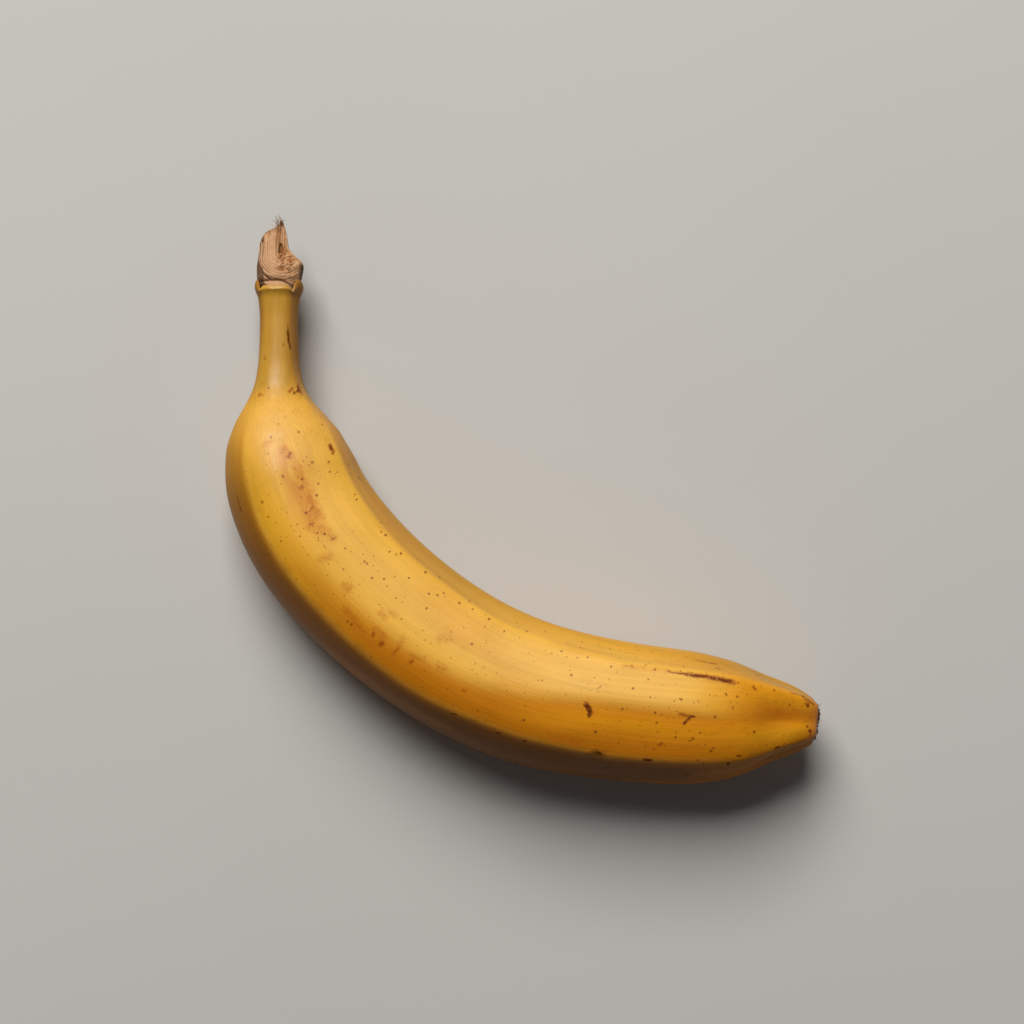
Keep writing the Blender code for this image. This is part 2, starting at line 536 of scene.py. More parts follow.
@dataclass(frozen=True)
class PeelSection:
    """The outline of the fruit cut square to its axis.

    Angles run from straight up towards the hollow side, in degrees. Ridges
    are the corners of a six-sided outline, each with its own angle and its
    own reach, where 1 is the round outline's radius. The radius in any
    direction is the soft minimum of the distances to the flat sides, mixed
    with the round outline by the angularity.
    """

    axis: FruitAxis
    ridges: tuple[Course, ...] = (
        Course(((16, -165), (212, -165))),
        Course(((16, -112), (190, -108), (212, -92))),
        Course(((16, -42), (60, -31), (75, -32), (97, -34), (116, -35), (136, -31), (150, -31),
                (165, -34), (184, -34), (191, -36), (200, -38), (207, -35), (212, -35))),
        Course(((16, -2), (60, -6), (107, -9), (125, -6), (138, 0), (150, 5), (160, 7.5), (175, 7),
                (190, 5), (212, 2))),
        Course(((16, 34), (31, 36), (41, 50), (50, 52), (60, 49), (75, 47), (97, 44), (140, 43),
                (170, 38), (212, 42))),
        Course(((16, 126), (212, 128))),
    )
    reaches: tuple[Course, ...] = (
        Course(((16, 0.98), (212, 0.98))),
        ROUND,
        ROUND,
        Course(((16, 0.98), (60, 0.965), (160, 0.975), (180, 0.96), (193, 0.87), (200, 0.82), (212, 0.80))),
        ROUND,
        ROUND,
    )
    sharpness: Course = Course(((16, 9), (39, 12), (75, 22), (110, 32), (150, 44), (180, 34), (195, 20),
                                (212, 16)))
    angularity: Course = Course(((16, 0.3), (39, 0.4), (62, 0.5), (100, 0.55), (140, 0.5), (165, 0.6),
                                 (185, 0.6), (200, 0.5), (212, 0.4)))
    hollows: Course = Course(((16, 0.0), (184, 0.0), (194, 0.03), (202, 0.12), (212, 0.14)))
    swell_mm: float = 9.0
    swell_share: float = 0.007

    def corners(self, along: np.ndarray) -> np.ndarray:
        """Returns the outline's six corners at each distance, as (corner, place, 2)."""
        angles = np.radians([ridge.at(along) for ridge in self.ridges])
        reach = np.array([course.at(along) for course in self.reaches])
        return np.stack([np.sin(angles), np.cos(angles)], axis=-1) * reach[..., None]

    def radius(self, along: np.ndarray, angles: np.ndarray) -> np.ndarray:
        """Returns the outline's radius, about 1, for each distance and angle.

        Args:
            along: Distances, one for each ring.
            angles: Angles in radians, one for each point of a ring.

        Returns:
            An array of rings by points.
        """
        corners = self.corners(along)
        sides = np.roll(corners, -1, axis=0) - corners
        normals = np.stack([-sides[..., 1], sides[..., 0]], axis=-1)
        normals /= np.linalg.norm(normals, axis=-1, keepdims=True)
        distances = np.sum(corners * normals, axis=-1)
        towards = np.stack([np.sin(angles), np.cos(angles)], axis=-1)
        facing = np.einsum("krc,mc->krm", normals, towards)
        power = self.sharpness.at(along)[None, :, None]
        pull = (np.maximum(facing, 0.0) / distances[..., None]) ** power
        angular = np.sum(pull, axis=0) ** (-1.0 / power[0])
        share = self.angularity.at(along)[:, None]
        hollow = self.hollows.at(along)[:, None] * self.between_ridges(along, angles)
        return 1.0 + share * (angular - 1.0) - hollow - self.crease(along, angles)

    def crease(self, along: np.ndarray, angles: np.ndarray) -> np.ndarray:
        """Returns the depth of the shallow grooves beside two of the ridges.

        One runs below the middle ridge in the tip half, one above the ridge
        on the hollow side in the stem half. Each is a bell across the skin.
        """
        a = along[:, None]
        turn = np.degrees(angles)[None, :]
        below = bell(turn, self.ridges[3].at(a) - 5.0, 3.0) * bell(a, 176.0, 20.0)
        above = bell(turn, self.ridges[4].at(a) + 4.0, 2.5) * bell(a, 95.0, 30.0)
        raised = bell(turn, self.ridges[3].at(a) + 4.0, 4.0) * bell(a, 176.0, 22.0)
        return 0.007 * below + 0.006 * above - 0.006 * raised

    def between_ridges(self, along: np.ndarray, angles: np.ndarray) -> np.ndarray:
        """Returns 1 midway between the main ridges and 0 on them, for rings by points."""
        main = [self.ridges[k] for k in (1, 2, 4, 5)]
        found = np.zeros((len(along), len(angles)))
        for k, ridge in enumerate(main):
            start = np.radians(ridge.at(along))[:, None]
            end = np.radians(main[(k + 1) % len(main)].at(along))[:, None]
            gap = np.mod(end - start, 2 * math.pi)
            part = np.mod(angles[None, :] - start, 2 * math.pi) / gap
            found += np.where(part < 1.0, np.sin(math.pi * np.clip(part, 0, 1)) ** 2, 0.0)
        return found

    def outline(self, along: np.ndarray, angles: np.ndarray) -> tuple[np.ndarray, np.ndarray]:
        """Returns offsets across and upward in millimetres, for rings by points.

        The outline is swelled a little by slow noise, then stretched so that
        it fills the fruit's half width and half height.
        """
        radius = self.radius(along, angles)
        place = np.stack(np.broadcast_arrays(
            along[:, None] / (2.4 * self.swell_mm),
            16.0 * np.sin(angles)[None, :] / self.swell_mm,
            16.0 * np.cos(angles)[None, :] / self.swell_mm,
        ), axis=-1)
        radius = radius * (1.0 + self.swell_share * noise(place, SEED))
        half_width = self.axis.half_width.at(along)[:, None]
        half_height = half_width * self.axis.height_ratio.at(along)[:, None]
        across = stretched_to_one(radius * np.sin(angles)[None, :]) * half_width
        upward = stretched_to_one(radius * np.cos(angles)[None, :]) * half_height
        return across, upward


def stretched_to_one(offsets: np.ndarray) -> np.ndarray:
    """Moves and stretches each row so that it runs from -1 to 1."""
    low = offsets.min(axis=1, keepdims=True)
    high = offsets.max(axis=1, keepdims=True)
    return 2 * (offsets - low) / (high - low) - 1


class MarkKind(Enum):
    """The blemishes that a ripe peel carries."""

    SPECK = "speck"
    SCAR = "scar"
    RUST = "rust"
    SMUDGE = "smudge"
    BLOT = "blot"


@dataclass(frozen=True)
class Mark:
    """A blemish drawn as a straight stroke with round ends.

    Both ends are given as distance along the fruit and offset across it, in
    millimetres, where they appear on the level through the fruit's middle
    when seen from the viewpoint.
    """

    kind: MarkKind
    start: tuple[float, float]
    end: tuple[float, float]
    half_width: float


SPECK, SCAR, RUST = MarkKind.SPECK, MarkKind.SCAR, MarkKind.RUST
SMUDGE, BLOT = MarkKind.SMUDGE, MarkKind.BLOT

# Strokes by kind, in rows of five: the first end's distance along and offset
# across, the second end's, and the half width.
STROKES: dict[MarkKind, tuple[tuple[float, ...], ...]] = {
    SCAR: (
        # The stem, and where it meets the shoulder.
        (26.0, 2.1, 27.5, 2.2, 0.15), (27.5, 2.2, 30.1, 2.4, 0.33), (30.1, 2.4, 31.6, 2.7, 0.26),
        (40.7, 4.4, 42.1, 4.9, 0.24), (41.4, 4.6, 41.9, 4.3, 0.38), (42.2, 3.7, 42.4, 3.6, 0.31),
        # The ridges beside the shoulder.
        (57.1, 10.9, 58.1, 11.0, 0.31), (69.4, 15.1, 69.8, 15.2, 0.12), (63.5, -13.7, 66.1, -13.9, 0.17),
        (65.8, -13.9, 66.1, -13.9, 0.29),
        # The oval scar.
        (156.5, 0.0, 157.3, -1.2, 0.55), (157.2, -1.1, 157.3, -2.2, 0.40),
        # The forked nick.
        (180.1, -1.2, 180.3, -1.1, 0.34), (180.3, -1.0, 181.3, 0.3, 0.17), (181.2, 0.4, 182.2, 0.5, 0.24),
        # The long scrape on the ridge on the hollow side, with broken ends.
        (177.2, 10.5, 179.9, 10.4, 0.12), (180.6, 10.3, 185.2, 10.1, 0.26),
        (186.0, 9.9, 187.0, 9.7, 0.29), (188.0, 9.6, 189.5, 9.3, 0.29), (189.5, 9.3, 190.9, 9.1, 0.41),
        (183.5, 13.7, 184.6, 13.5, 0.13), (186.0, 13.4, 186.8, 13.2, 0.12),
        # The outer ridge, with a hairline crack below it.
        (128.2, -12.0, 128.8, -11.8, 0.22), (138.6, -11.8, 139.1, -11.7, 0.36),
        (144.4, -11.4, 144.4, -11.6, 0.29), (160.4, -10.4, 161.4, -10.7, 0.29),
        (160.0, -12.4, 160.7, -12.3, 0.19), (171.4, -10.8, 172.9, -10.8, 0.40),
        (171.8, -10.8, 172.3, -10.8, 0.46), (163.3, -13.6, 164.3, -13.4, 0.19),
        # The tip.
        (192.7, -8.7, 193.4, -8.7, 0.29), (190.6, -10.3, 190.6, -10.8, 0.29),
        (202.1, -6.7, 202.8, -6.5, 0.29), (181.4, -13.5, 181.7, -13.5, 0.24),
        (197.1, 10.8, 198.0, 10.3, 0.14), (207.6, 6.0, 208.9, 5.4, 0.08), (208.9, 5.4, 210.5, 4.0, 0.13),
        (209.2, 3.8, 209.3, 3.6, 0.22), (209.4, -1.2, 209.5, -1.4, 0.24),
        (210.1, -2.2, 210.3, -2.4, 0.34),
    ),
    RUST: (
        # The stem, and where it meets the shoulder.
        (40.2, 4.6, 42.6, 5.4, 0.38), (41.4, 3.1, 41.9, 2.5, 0.34), (33.6, -3.4, 34.1, -3.3, 0.24),
        (42.4, -4.6, 42.7, -4.8, 0.31), (42.5, -3.9, 42.8, -4.0, 0.17), (30.6, 1.2, 31.0, 1.2, 0.17),
        # The ridges beside the shoulder.
        (57.0, 10.8, 58.3, 11.0, 0.48), (58.7, 11.4, 59.5, 11.0, 0.34), (68.8, 15.0, 70.9, 15.4, 0.22),
        # The shoulder, among the densest specks.
        (57.2, 1.2, 57.7, 0.5, 0.36), (65.8, 1.7, 66.0, 1.2, 0.41), (71.4, 2.2, 72.1, 1.3, 0.19),
        (75.2, 0.5, 75.1, -0.4, 0.17), (81.1, 2.9, 81.0, 1.8, 0.22),
        # The belly.
        (103.8, -6.5, 104.0, -7.2, 0.29), (106.6, -7.0, 106.5, -7.9, 0.31),
        (110.2, -5.5, 110.3, -7.2, 0.14), (114.6, -6.2, 114.5, -6.8, 0.31),
        (127.8, -5.9, 128.3, -5.7, 0.22),
        # The oval scar.
        (156.1, 0.6, 157.7, -1.4, 0.46),
        # The forked nick.
        (178.9, 0.8, 180.8, 0.5, 0.31), (180.0, -1.3, 181.6, 0.4, 0.34),
        # The long scrape on the ridge on the hollow side, with broken ends.
        (175.6, 10.7, 179.9, 10.4, 0.23), (179.9, 10.4, 184.7, 10.1, 0.55),
        (184.7, 10.1, 188.0, 9.7, 0.62), (188.0, 9.7, 191.6, 8.9, 0.62), (181.6, 14.0, 184.4, 13.6, 0.19),
        (185.4, 13.4, 187.1, 13.2, 0.30), (187.3, 12.3, 188.3, 11.9, 0.23),
        # The outer ridge, with a hairline crack below it.
        (145.6, -16.0, 154.0, -15.8, 0.11), (154.0, -15.8, 157.1, -15.3, 0.11),
        (157.1, -15.3, 158.8, -15.4, 0.11), (158.8, -15.4, 160.2, -16.0, 0.11),
        (160.2, -16.0, 164.5, -16.1, 0.11),
        # The tip.
        (174.4, -7.1, 175.1, -6.5, 0.29), (199.8, -9.6, 201.0, -8.9, 0.29),
        (189.7, -13.7, 190.4, -13.7, 0.29), (196.5, 7.9, 197.0, 7.2, 0.24),
        (205.1, 6.5, 207.5, 6.0, 0.12), (208.0, 5.7, 209.4, 4.6, 0.22), (208.9, 4.1, 209.3, 3.6, 0.36),
        (210.4, -3.1, 210.5, -3.6, 0.26),
    ),
    SMUDGE: (
        # The shoulder, among the densest specks.
        (56.0, 0.0, 57.7, 1.0, 0.77), (62.5, 1.9, 66.4, 2.2, 0.82), (65.4, 1.4, 66.1, 1.4, 0.86),
        (68.3, 2.6, 73.8, 2.2, 1), (70.7, 1.0, 72.4, 0.5, 0.48), (77.4, 1.4, 81.2, 2.2, 0.62),
        (60.1, 1.4, 61.1, 1.7, 0.48), (53.4, -2.4, 53.9, -4.6, 0.24), (74.3, 0.2, 75.5, -1.0, 0.34),
        (84.0, -1.1, 83.2, -2.9, 0.6), (91.8, -3.0, 92.2, -2.3, 0.8),
        # The belly.
        (103.8, -0.3, 104.9, -0.0, 0.24), (102.1, -1.7, 103.3, -1.7, 0.38),
        (116.9, 1.9, 119.2, 3.1, 0.46), (104.0, -5.5, 105.7, -5.8, 0.82),
        (106.2, -7.3, 106.9, -7.4, 0.62), (102.6, -8.2, 105.0, -8.4, 0.29),
        (109.9, -3.1, 110.3, -8.4, 0.22), (114.1, -5.2, 116.3, -4.4, 0.38),
        (120.4, -3.7, 121.8, -3.6, 0.38), (95.9, -7.0, 101.9, -7.9, 0.72),
        # The long scrape on the ridge on the hollow side, with broken ends.
        (164.0, 10.8, 168.6, 10.9, 0.17), (169.1, 10.8, 174.4, 10.8, 0.12),
        (189.0, 13.1, 190.7, 12.6, 0.14), (191.4, 12.0, 193.1, 11.8, 0.12),
        # The outer ridge, with a hairline crack below it.
        (150.4, -9.1, 155.9, -8.9, 0.9),
    ),
    BLOT: (
        # The outer ridge, with a hairline crack below it.
        (160.0, -10.8, 161.4, -10.9, 0.72), (158.3, -11.4, 160.0, -11.1, 0.24),
    ),
}

# The plainest round dots, in rows of three: distance along, offset across and
# radius. The smaller ones are strewn.
SPECKS: tuple[tuple[float, float, float], ...] = (
    (61.6, 9.6, 0.26), (60.6, 5.8, 0.26), (66.5, 5.6, 0.24), (69.2, 4.2, 0.31), (64.0, 2.3, 0.29),
    (62.0, -1.9, 0.26), (72.1, 0.1, 0.29), (78.8, 1.3, 0.29), (77.6, -0.1, 0.24), (74.0, 12.5, 0.24),
    (75.6, 12.2, 0.31), (67.2, 13.6, 0.24), (87.6, 12.2, 0.24), (89.2, 12.5, 0.31), (85.6, 13.7, 0.24),
    (91.3, 4.6, 0.24), (76.0, -12.4, 0.24), (76.0, -15.6, 0.29), (95.6, 12.0, 0.31), (93.1, 10.4, 0.24),
    (94.7, 3.0, 0.24), (97.0, 4.8, 0.24), (101.5, 9.0, 0.24), (108.1, 9.1, 0.26), (111.1, 11.4, 0.24),
    (116.0, 11.6, 0.31), (103.8, 12.6, 0.31), (107.6, 13.8, 0.29), (118.0, 13.3, 0.26),
    (119.9, 12.1, 0.24), (125.2, 12.1, 0.31), (130.4, 11.2, 0.24), (136.1, 13.4, 0.31),
    (124.4, 4.9, 0.31), (109.9, 6.0, 0.26), (98.6, -8.5, 0.26), (133.8, -14.4, 0.26),
    (152.0, 14.8, 0.26), (159.7, 14.4, 0.24), (147.2, 11.5, 0.24), (154.3, 11.5, 0.24),
    (160.7, 10.2, 0.26), (151.2, 6.5, 0.29), (166.9, 5.8, 0.26), (178.9, 4.3, 0.26),
    (178.9, 12.2, 0.24), (171.7, 10.9, 0.26), (175.1, 10.9, 0.24), (170.4, 8.4, 0.24),
    (164.9, 0.6, 0.26), (172.9, 0.6, 0.29), (173.5, -1.8, 0.24), (143.0, -6.8, 0.29),
    (159.5, -5.8, 0.31), (178.2, -4.8, 0.24), (158.8, -13.8, 0.26), (176.0, -15.1, 0.29),
    (192.8, 8.8, 0.24), (201.4, 7.0, 0.24), (189.8, 6.1, 0.24), (192.6, 5.5, 0.26), (205.0, 3.6, 0.24),
    (187.3, 0.6, 0.29), (184.0, -3.4, 0.24), (191.6, 2.8, 0.24), (182.3, -4.8, 0.29),
    (181.8, -5.4, 0.24), (196.7, -3.0, 0.29), (186.6, -7.6, 0.33), (187.2, -7.0, 0.24),
    (183.7, -10.0, 0.26), (184.8, -10.6, 0.26), (194.4, -10.9, 0.29), (185.6, -13.0, 0.29),
)

MARKS = tuple(
    Mark(kind, row[:2], row[2:4], row[4]) for kind, rows in STROKES.items() for row in rows
) + tuple(Mark(SPECK, row[:2], row[:2], row[2]) for row in SPECKS)


@dataclass(frozen=True)
class PeelMap:
    """The flat map of the peel: how its two numbers stand for millimetres."""

    start: float = 4.0
    long_span: float = 220.0
    round_span: float = 118.0

    def corner(self, along: np.ndarray, around: np.ndarray) -> np.ndarray:
        """Returns map places for distances along and around."""
        return np.stack([(along - self.start) / self.long_span, around / self.round_span + 0.5], axis=-1)


@dataclass(frozen=True)
class MarkFinish:
    """How one kind of mark looks.

    The edge fades from full at inner to nothing at outer, both counted
    outward from the stroke's half width in millimetres. The wobble is how
    far noise shakes the edge, and patchy how much noise thins the mark out.
    """

    colour: Colour
    strength: float
    inner: float
    outer: float
    wobble: float
    patchy: float = 0.0


MARK_FINISHES: dict[MarkKind, MarkFinish] = {
    BLOT: MarkFinish((0.08, 0.035, 0.004), 0.85, -0.7, 0.9, 1.4, 0.4),
    SMUDGE: MarkFinish((0.48, 0.135, 0.005), 0.70, -1.0, 1.2, 1.7, 0.5),
    RUST: MarkFinish((0.30, 0.070, 0.003), 0.92, -0.30, 0.40, 0.7, 0.25),
    SPECK: MarkFinish((0.20, 0.055, 0.002), 0.92, -0.20, 0.22, 0.3),
    SCAR: MarkFinish((0.12, 0.022, 0.002), 0.94, -0.20, 0.22, 0.6, 0.15),
}


@dataclass(frozen=True)
class MarkLayers:
    """The marks of every kind, sorted into layers that keep them apart.

    A layer stores one vector for each point of the peel: the way to the
    nearest point of the nearest stroke, along and around, and the stroke's
    half width. Far from any stroke the half width is far below zero. Strokes
    of one layer are so far apart that no face touches two of them.
    """

    strokes: dict[MarkKind, list[tuple[np.ndarray, np.ndarray, float]]]
    reach: float = 1.6
    spare: float = 0.4
    far: float = -30.0

    def sorted_layers(self, kind: MarkKind) -> list[list[tuple[np.ndarray, np.ndarray, float]]]:
        """Deals a kind's strokes out, each to the first layer with room for it."""
        layers: list[list[tuple[np.ndarray, np.ndarray, float]]] = []
        for stroke in self.strokes[kind]:
            for layer in layers:
                if all(self.gap(stroke, other) > 2 * (self.reach + self.spare) for other in layer):
                    layer.append(stroke)
                    break
            else:
                layers.append([stroke])
        return layers

    @staticmethod
    def gap(first: tuple, second: tuple) -> float:
        """Returns the least distance between two strokes' edges, from points along both."""
        share = np.linspace(0.0, 1.0, 13)[:, None]
        one = first[0] + (first[1] - first[0]) * share
        two = second[0] + (second[1] - second[0]) * share
        apart = np.linalg.norm(one[:, None] - two[None, :], axis=-1)
        return float(apart.min()) - first[2] - second[2]

    def values(self, flat: np.ndarray) -> dict[str, np.ndarray]:
        """Returns each layer's vectors.

        Args:
            flat: Each point's place on the flat map, in millimetres.

        Returns:
            The vectors by layer name.
        """
        found = {}
        for kind in MarkKind:
            for number, layer in enumerate(self.sorted_layers(kind)):
                found[f"{kind.value}_{number}"] = self.nearest(flat, layer)
        return found

    def nearest(self, flat: np.ndarray, layer: list) -> np.ndarray:
        """Returns the vectors of one layer, stroke by stroke, nearest kept."""
        best = np.full(len(flat), np.inf)
        result = np.zeros((len(flat), 3))
        result[:, 2] = self.far
        for start, end, half_width in layer:
            run = end - start
            length = max(float(run @ run), 1e-9)
            share = np.clip((flat - start) @ run / length, 0.0, 1.0)
            away = start + share[:, None] * run - flat
            distance = np.hypot(away[:, 0], away[:, 1]) - half_width
            nearer = distance < np.minimum(best, self.reach + self.spare)
            best = np.where(nearer, distance, best)
            result[nearer, :2] = away[nearer]
            result[nearer, 2] = half_width
        return result


@dataclass(frozen=True)
class PeelFinish:
    """Ripe yellow peel: satin, streaked lengthwise, freckled and scuffed."""

    flat: PeelMap
    layers: dict[MarkKind, int]
    freckle: Colour = (0.27, 0.085, 0.004)
    freckle_strength: float = 0.72
    freckle_edge: tuple[float, float] = (-0.07, 0.09)
    freckle_sizes: tuple[tuple[float, float, float, float], ...] = (
        (1.9, 0.07, 0.20, 0.6), (3.7, 0.12, 0.29, 0.55), (6.3, 0.18, 0.38, 0.5),
    )
    roughness: float = 0.32
    mottled_roughness: float = 0.16
    scarred_roughness: float = 0.25
    scarred_shine: float = -0.8
    fine_streaks: Texture = Texture((0.035, 1.3, 1.3), 4.0, 0.6)
    broad_streaks: Texture = Texture((0.012, 0.33, 0.33), 3.0)
    mottle: Texture = Texture((0.09, 0.16, 0.16), 3.0)
    thinning: Texture = Texture((0.6, 0.9, 0.9), 3.0, 0.6)
    skin_grain: Texture = Texture((0.9, 2.6, 2.6), 3.0)
    streak_depth: float = 0.7
    grain_depth: float = 0.35
    scar_depth: float = -0.3
    bump_strength: float = 0.35
    bump_height: float = 0.00025

    def material(self) -> bpy.types.Material:
        """Builds the material from the peel's stored colour, density and mark layers.

        The stored colour is brightened and dulled by three noises, then the
        freckles and each kind of mark are laid over it. Only the scars,
        which come last, change the roughness, the relief and the shine.
        """
        wires = Wiring("banana_peel")
        place = wires.attribute("straight")
        ground = wires.attribute("ground")
        fine_streaks = wires.grain(place, self.fine_streaks)
        broad_streaks = wires.grain(place, self.broad_streaks)
        mottle = wires.grain(place, self.mottle)
        tone = wires.math("MULTIPLY_ADD", fine_streaks, 0.30, 0.85)
        tone = wires.math("MULTIPLY_ADD", broad_streaks, 0.26, wires.math("SUBTRACT", tone, 0.13))
        tone = wires.math("MULTIPLY_ADD", mottle, 0.20, wires.math("SUBTRACT", tone, 0.10))
        colour = wires.scaled(ground, tone)
        freckled = wires.math("MULTIPLY", self.freckles(wires), self.freckle_strength)
        colour = wires.blend(freckled, colour, self.freckle)
        shake = wires.node("TexNoise", {"Vector": place, "Scale": 1.2, "Detail": 3.0}).outputs["Color"]
        shake = wires.stretched(wires.vector("SUBTRACT", shake, (0.5, 0.5, 0.5)), (1.6, 1.0, 0.0))
        thin = wires.ramp(wires.grain(place, self.thinning), 0.40, 0.56)
        for kind, finish in MARK_FINISHES.items():
            cover = wires.math("MULTIPLY_ADD", thin, finish.patchy, 1.0 - finish.patchy)
            shape = wires.math("MULTIPLY", self.marks(wires, kind, finish, shake), cover)
            colour = wires.blend(wires.math("MULTIPLY", shape, finish.strength), colour, finish.colour)
        scars = shape
        rough = wires.math("MULTIPLY_ADD", mottle, self.mottled_roughness, self.roughness)
        rough = wires.math("MULTIPLY_ADD", scars, self.scarred_roughness, rough)
        grain = wires.math("MULTIPLY", wires.grain(place, self.skin_grain), self.grain_depth)
        height = wires.math("MULTIPLY_ADD", fine_streaks, self.streak_depth, grain)
        height = wires.math("MULTIPLY_ADD", scars, self.scar_depth, height)
        dulled = wires.math("MULTIPLY_ADD", scars, self.scarred_shine, 1.0)
        return wires.finish(
            Base_Color=colour,
            Roughness=rough,
            Normal=wires.bump(height, self.bump_strength, self.bump_height),
            Specular_IOR_Level=wires.math("MULTIPLY", wires.attribute("gloss", "Fac"), dulled),
        )

    def freckles(self, wires: Wiring) -> Socket:
        """Returns the small dots strewn over the peel, denser where the peel says.

        Three sizes of flat cells each hold one dot. A dot shows when its
        cell's random number is under the density times the size's share.
        """
        density = wires.attribute("freckling", "Fac")
        flat = wires.node("UVMap", {}, uv_map=PEEL_MAP).outputs[0]
        spot = wires.stretched(flat, (self.flat.long_span, self.flat.round_span, 0.0))
        found = []
        for size, smallest, largest, share in self.freckle_sizes:
            feeds = {"Vector": spot, "Scale": 1.0 / size}
            cells = wires.node("TexVoronoi", feeds, voronoi_dimensions="2D")
            parts = wires.node("SeparateColor", {"Color": cells.outputs["Color"]})
            distance = wires.math("MULTIPLY", cells.outputs["Distance"], size)
            radius = wires.math("MULTIPLY_ADD", parts.outputs["Red"], largest - smallest, smallest)
            inside = wires.ramp(wires.math("SUBTRACT", radius, distance), *self.freckle_edge)
            chosen = wires.math("LESS_THAN", parts.outputs["Green"], wires.math("MULTIPLY", density, share))
            found.append(wires.math("MULTIPLY", inside, chosen))
        return wires.loudest(found)

    def marks(self, wires: Wiring, kind: MarkKind, finish: MarkFinish, shake: Socket) -> Socket:
        """Returns one kind of mark as a soft-edged shape from 0 to 1.

        The stored way to the nearest stroke is shaken by noise. Its length
        less the half width is the distance to the mark's edge.
        """
        found = []
        for number in range(self.layers[kind]):
            stored = wires.attribute(f"{kind.value}_{number}")
            half_width = wires.node("SeparateXYZ", {"Vector": stored}).outputs["Z"]
            flat = wires.stretched(stored, (1.0, 1.0, 0.0))
            way = wires.vector("ADD", flat, wires.scaled(shake, finish.wobble))
            distance = wires.math("SUBTRACT", wires.measure("LENGTH", way), half_width)
            found.append(wires.ramp(distance, finish.outer, finish.inner))
        return wires.loudest(found)


class From(Enum):
    """What an angle round the peel is counted from."""

    TOP = "straight up"
    OUTER = "the outer ridge"
    MIDDLE = "the middle ridge"
    HOLLOW = "the ridge on the hollow side"
    CREST = "halfway between the middle ridge and the one on the hollow side"
    LIP = "the middle of the torn lip, the same way to both sides"


class Grain(Enum):
    """The noises that break up a wash: seed, share of the fineness along and around, octaves."""

    PATCH = (11, 1.0, 1.0, 3)
    GRIT = (15, 9.0, 3.0, 3)
    CLOUD = (18, 5.0, 3.0, 4)


Steps = tuple[tuple[float, float], ...]
Turns = tuple[tuple[From, float, float], ...]


@dataclass(frozen=True)
class Wash:
    """A colour laid over part of the peel.

    Its weight is a product. Each of the steps rises smoothly from 0 at its
    first distance along the fruit to 1 at its second, and each of the sides
    does so between two angles. The hump and the band are bells with a
    middle and a spread, along the fruit and around it. More holds strength
    added by a step, and broken a grain with a base and a gain.
    """

    colour: Colour
    strength: float
    steps: Steps = ()
    sides: Turns = ()
    hump: tuple[float, float] | None = None
    band: tuple[From, float, float] | None = None
    more: tuple[tuple[float, float, float], ...] = ()
    broken: tuple[Grain, float, float] | None = None

    def weight(self, a: np.ndarray, turns: dict[From, np.ndarray],
               grains: dict[Grain, np.ndarray]) -> np.ndarray:
        """Returns the wash's weight for rings by points.

        Args:
            a: Distance along, as a column.
            turns: Every point's angle from each thing that angles count from.
            grains: The noises.
        """
        weight = self.strength + 0.0 * a
        for extra, low, high in self.more:
            weight = weight + extra * smooth_step(a, low, high)
        for low, high in self.steps:
            weight = weight * smooth_step(a, low, high)
        for start, low, high in self.sides:
            weight = weight * smooth_step(turns[start], low, high)
        if self.hump:
            weight = weight * bell(a, *self.hump)
        if self.band:
            weight = weight * bell(turns[self.band[0]], *self.band[1:])
        if self.broken:
            grain, base, gain = self.broken
            weight = weight * np.clip(base + gain * grains[grain], 0, 1)
        return weight


GOLD: Colour = (0.74, 0.37, 0.014)
# Painted sheen on the crest; the same colour draws the paler lines along the ridges.
PALE: Colour = (0.82, 0.46, 0.085)
# The peel's own orange; also laid as painted shade below the middle ridge and in the groove beside it.
ORANGE: Colour = (0.60, 0.19, 0.003)
AMBER: Colour = (0.68, 0.25, 0.003)
# Painted highlight on a lit bulge of the tip half.
RIDGE_HIGHLIGHT: Colour = (0.84, 0.36, 0.004)
# Reddish painted shade in the tip's dent.
DENT_SHADE: Colour = (0.46, 0.115, 0.001)
# Painted sheen on the shoulder.
SHOULDER_SHEEN: Colour = (0.86, 0.53, 0.17)
SHADE: Colour = (0.40, 0.13, 0.002)
# Painted shade, deepest, beyond the outer ridge.
DEEP_SHADE: Colour = (0.16, 0.055, 0.002)
# Painted shade on the hollow side and the shoulder.
DULL_SHADE: Colour = (0.50, 0.23, 0.008)
STEM: Colour = (0.50, 0.26, 0.030)
BROWN: Colour = (0.30, 0.12, 0.012)
GREEN: Colour = (0.50, 0.30, 0.008)
FLESH: Colour = (0.56, 0.32, 0.08)
BRUISE: Colour = (0.55, 0.17, 0.02)
DRIED: Colour = (0.12, 0.05, 0.015)

LIP_START = 15.4
LIP_MIDDLE = -6.0
BLOSSOM_START = 211.0
ABOVE_UNDERSIDE = (From.TOP, -125, -95)
RIDGE_SPAN = ((40, 60), (196, 182))
SCUFF_SPAN = ((50, 60), (84, 74))
SCUFF_BAND = (From.TOP, 7.0, 7.5)

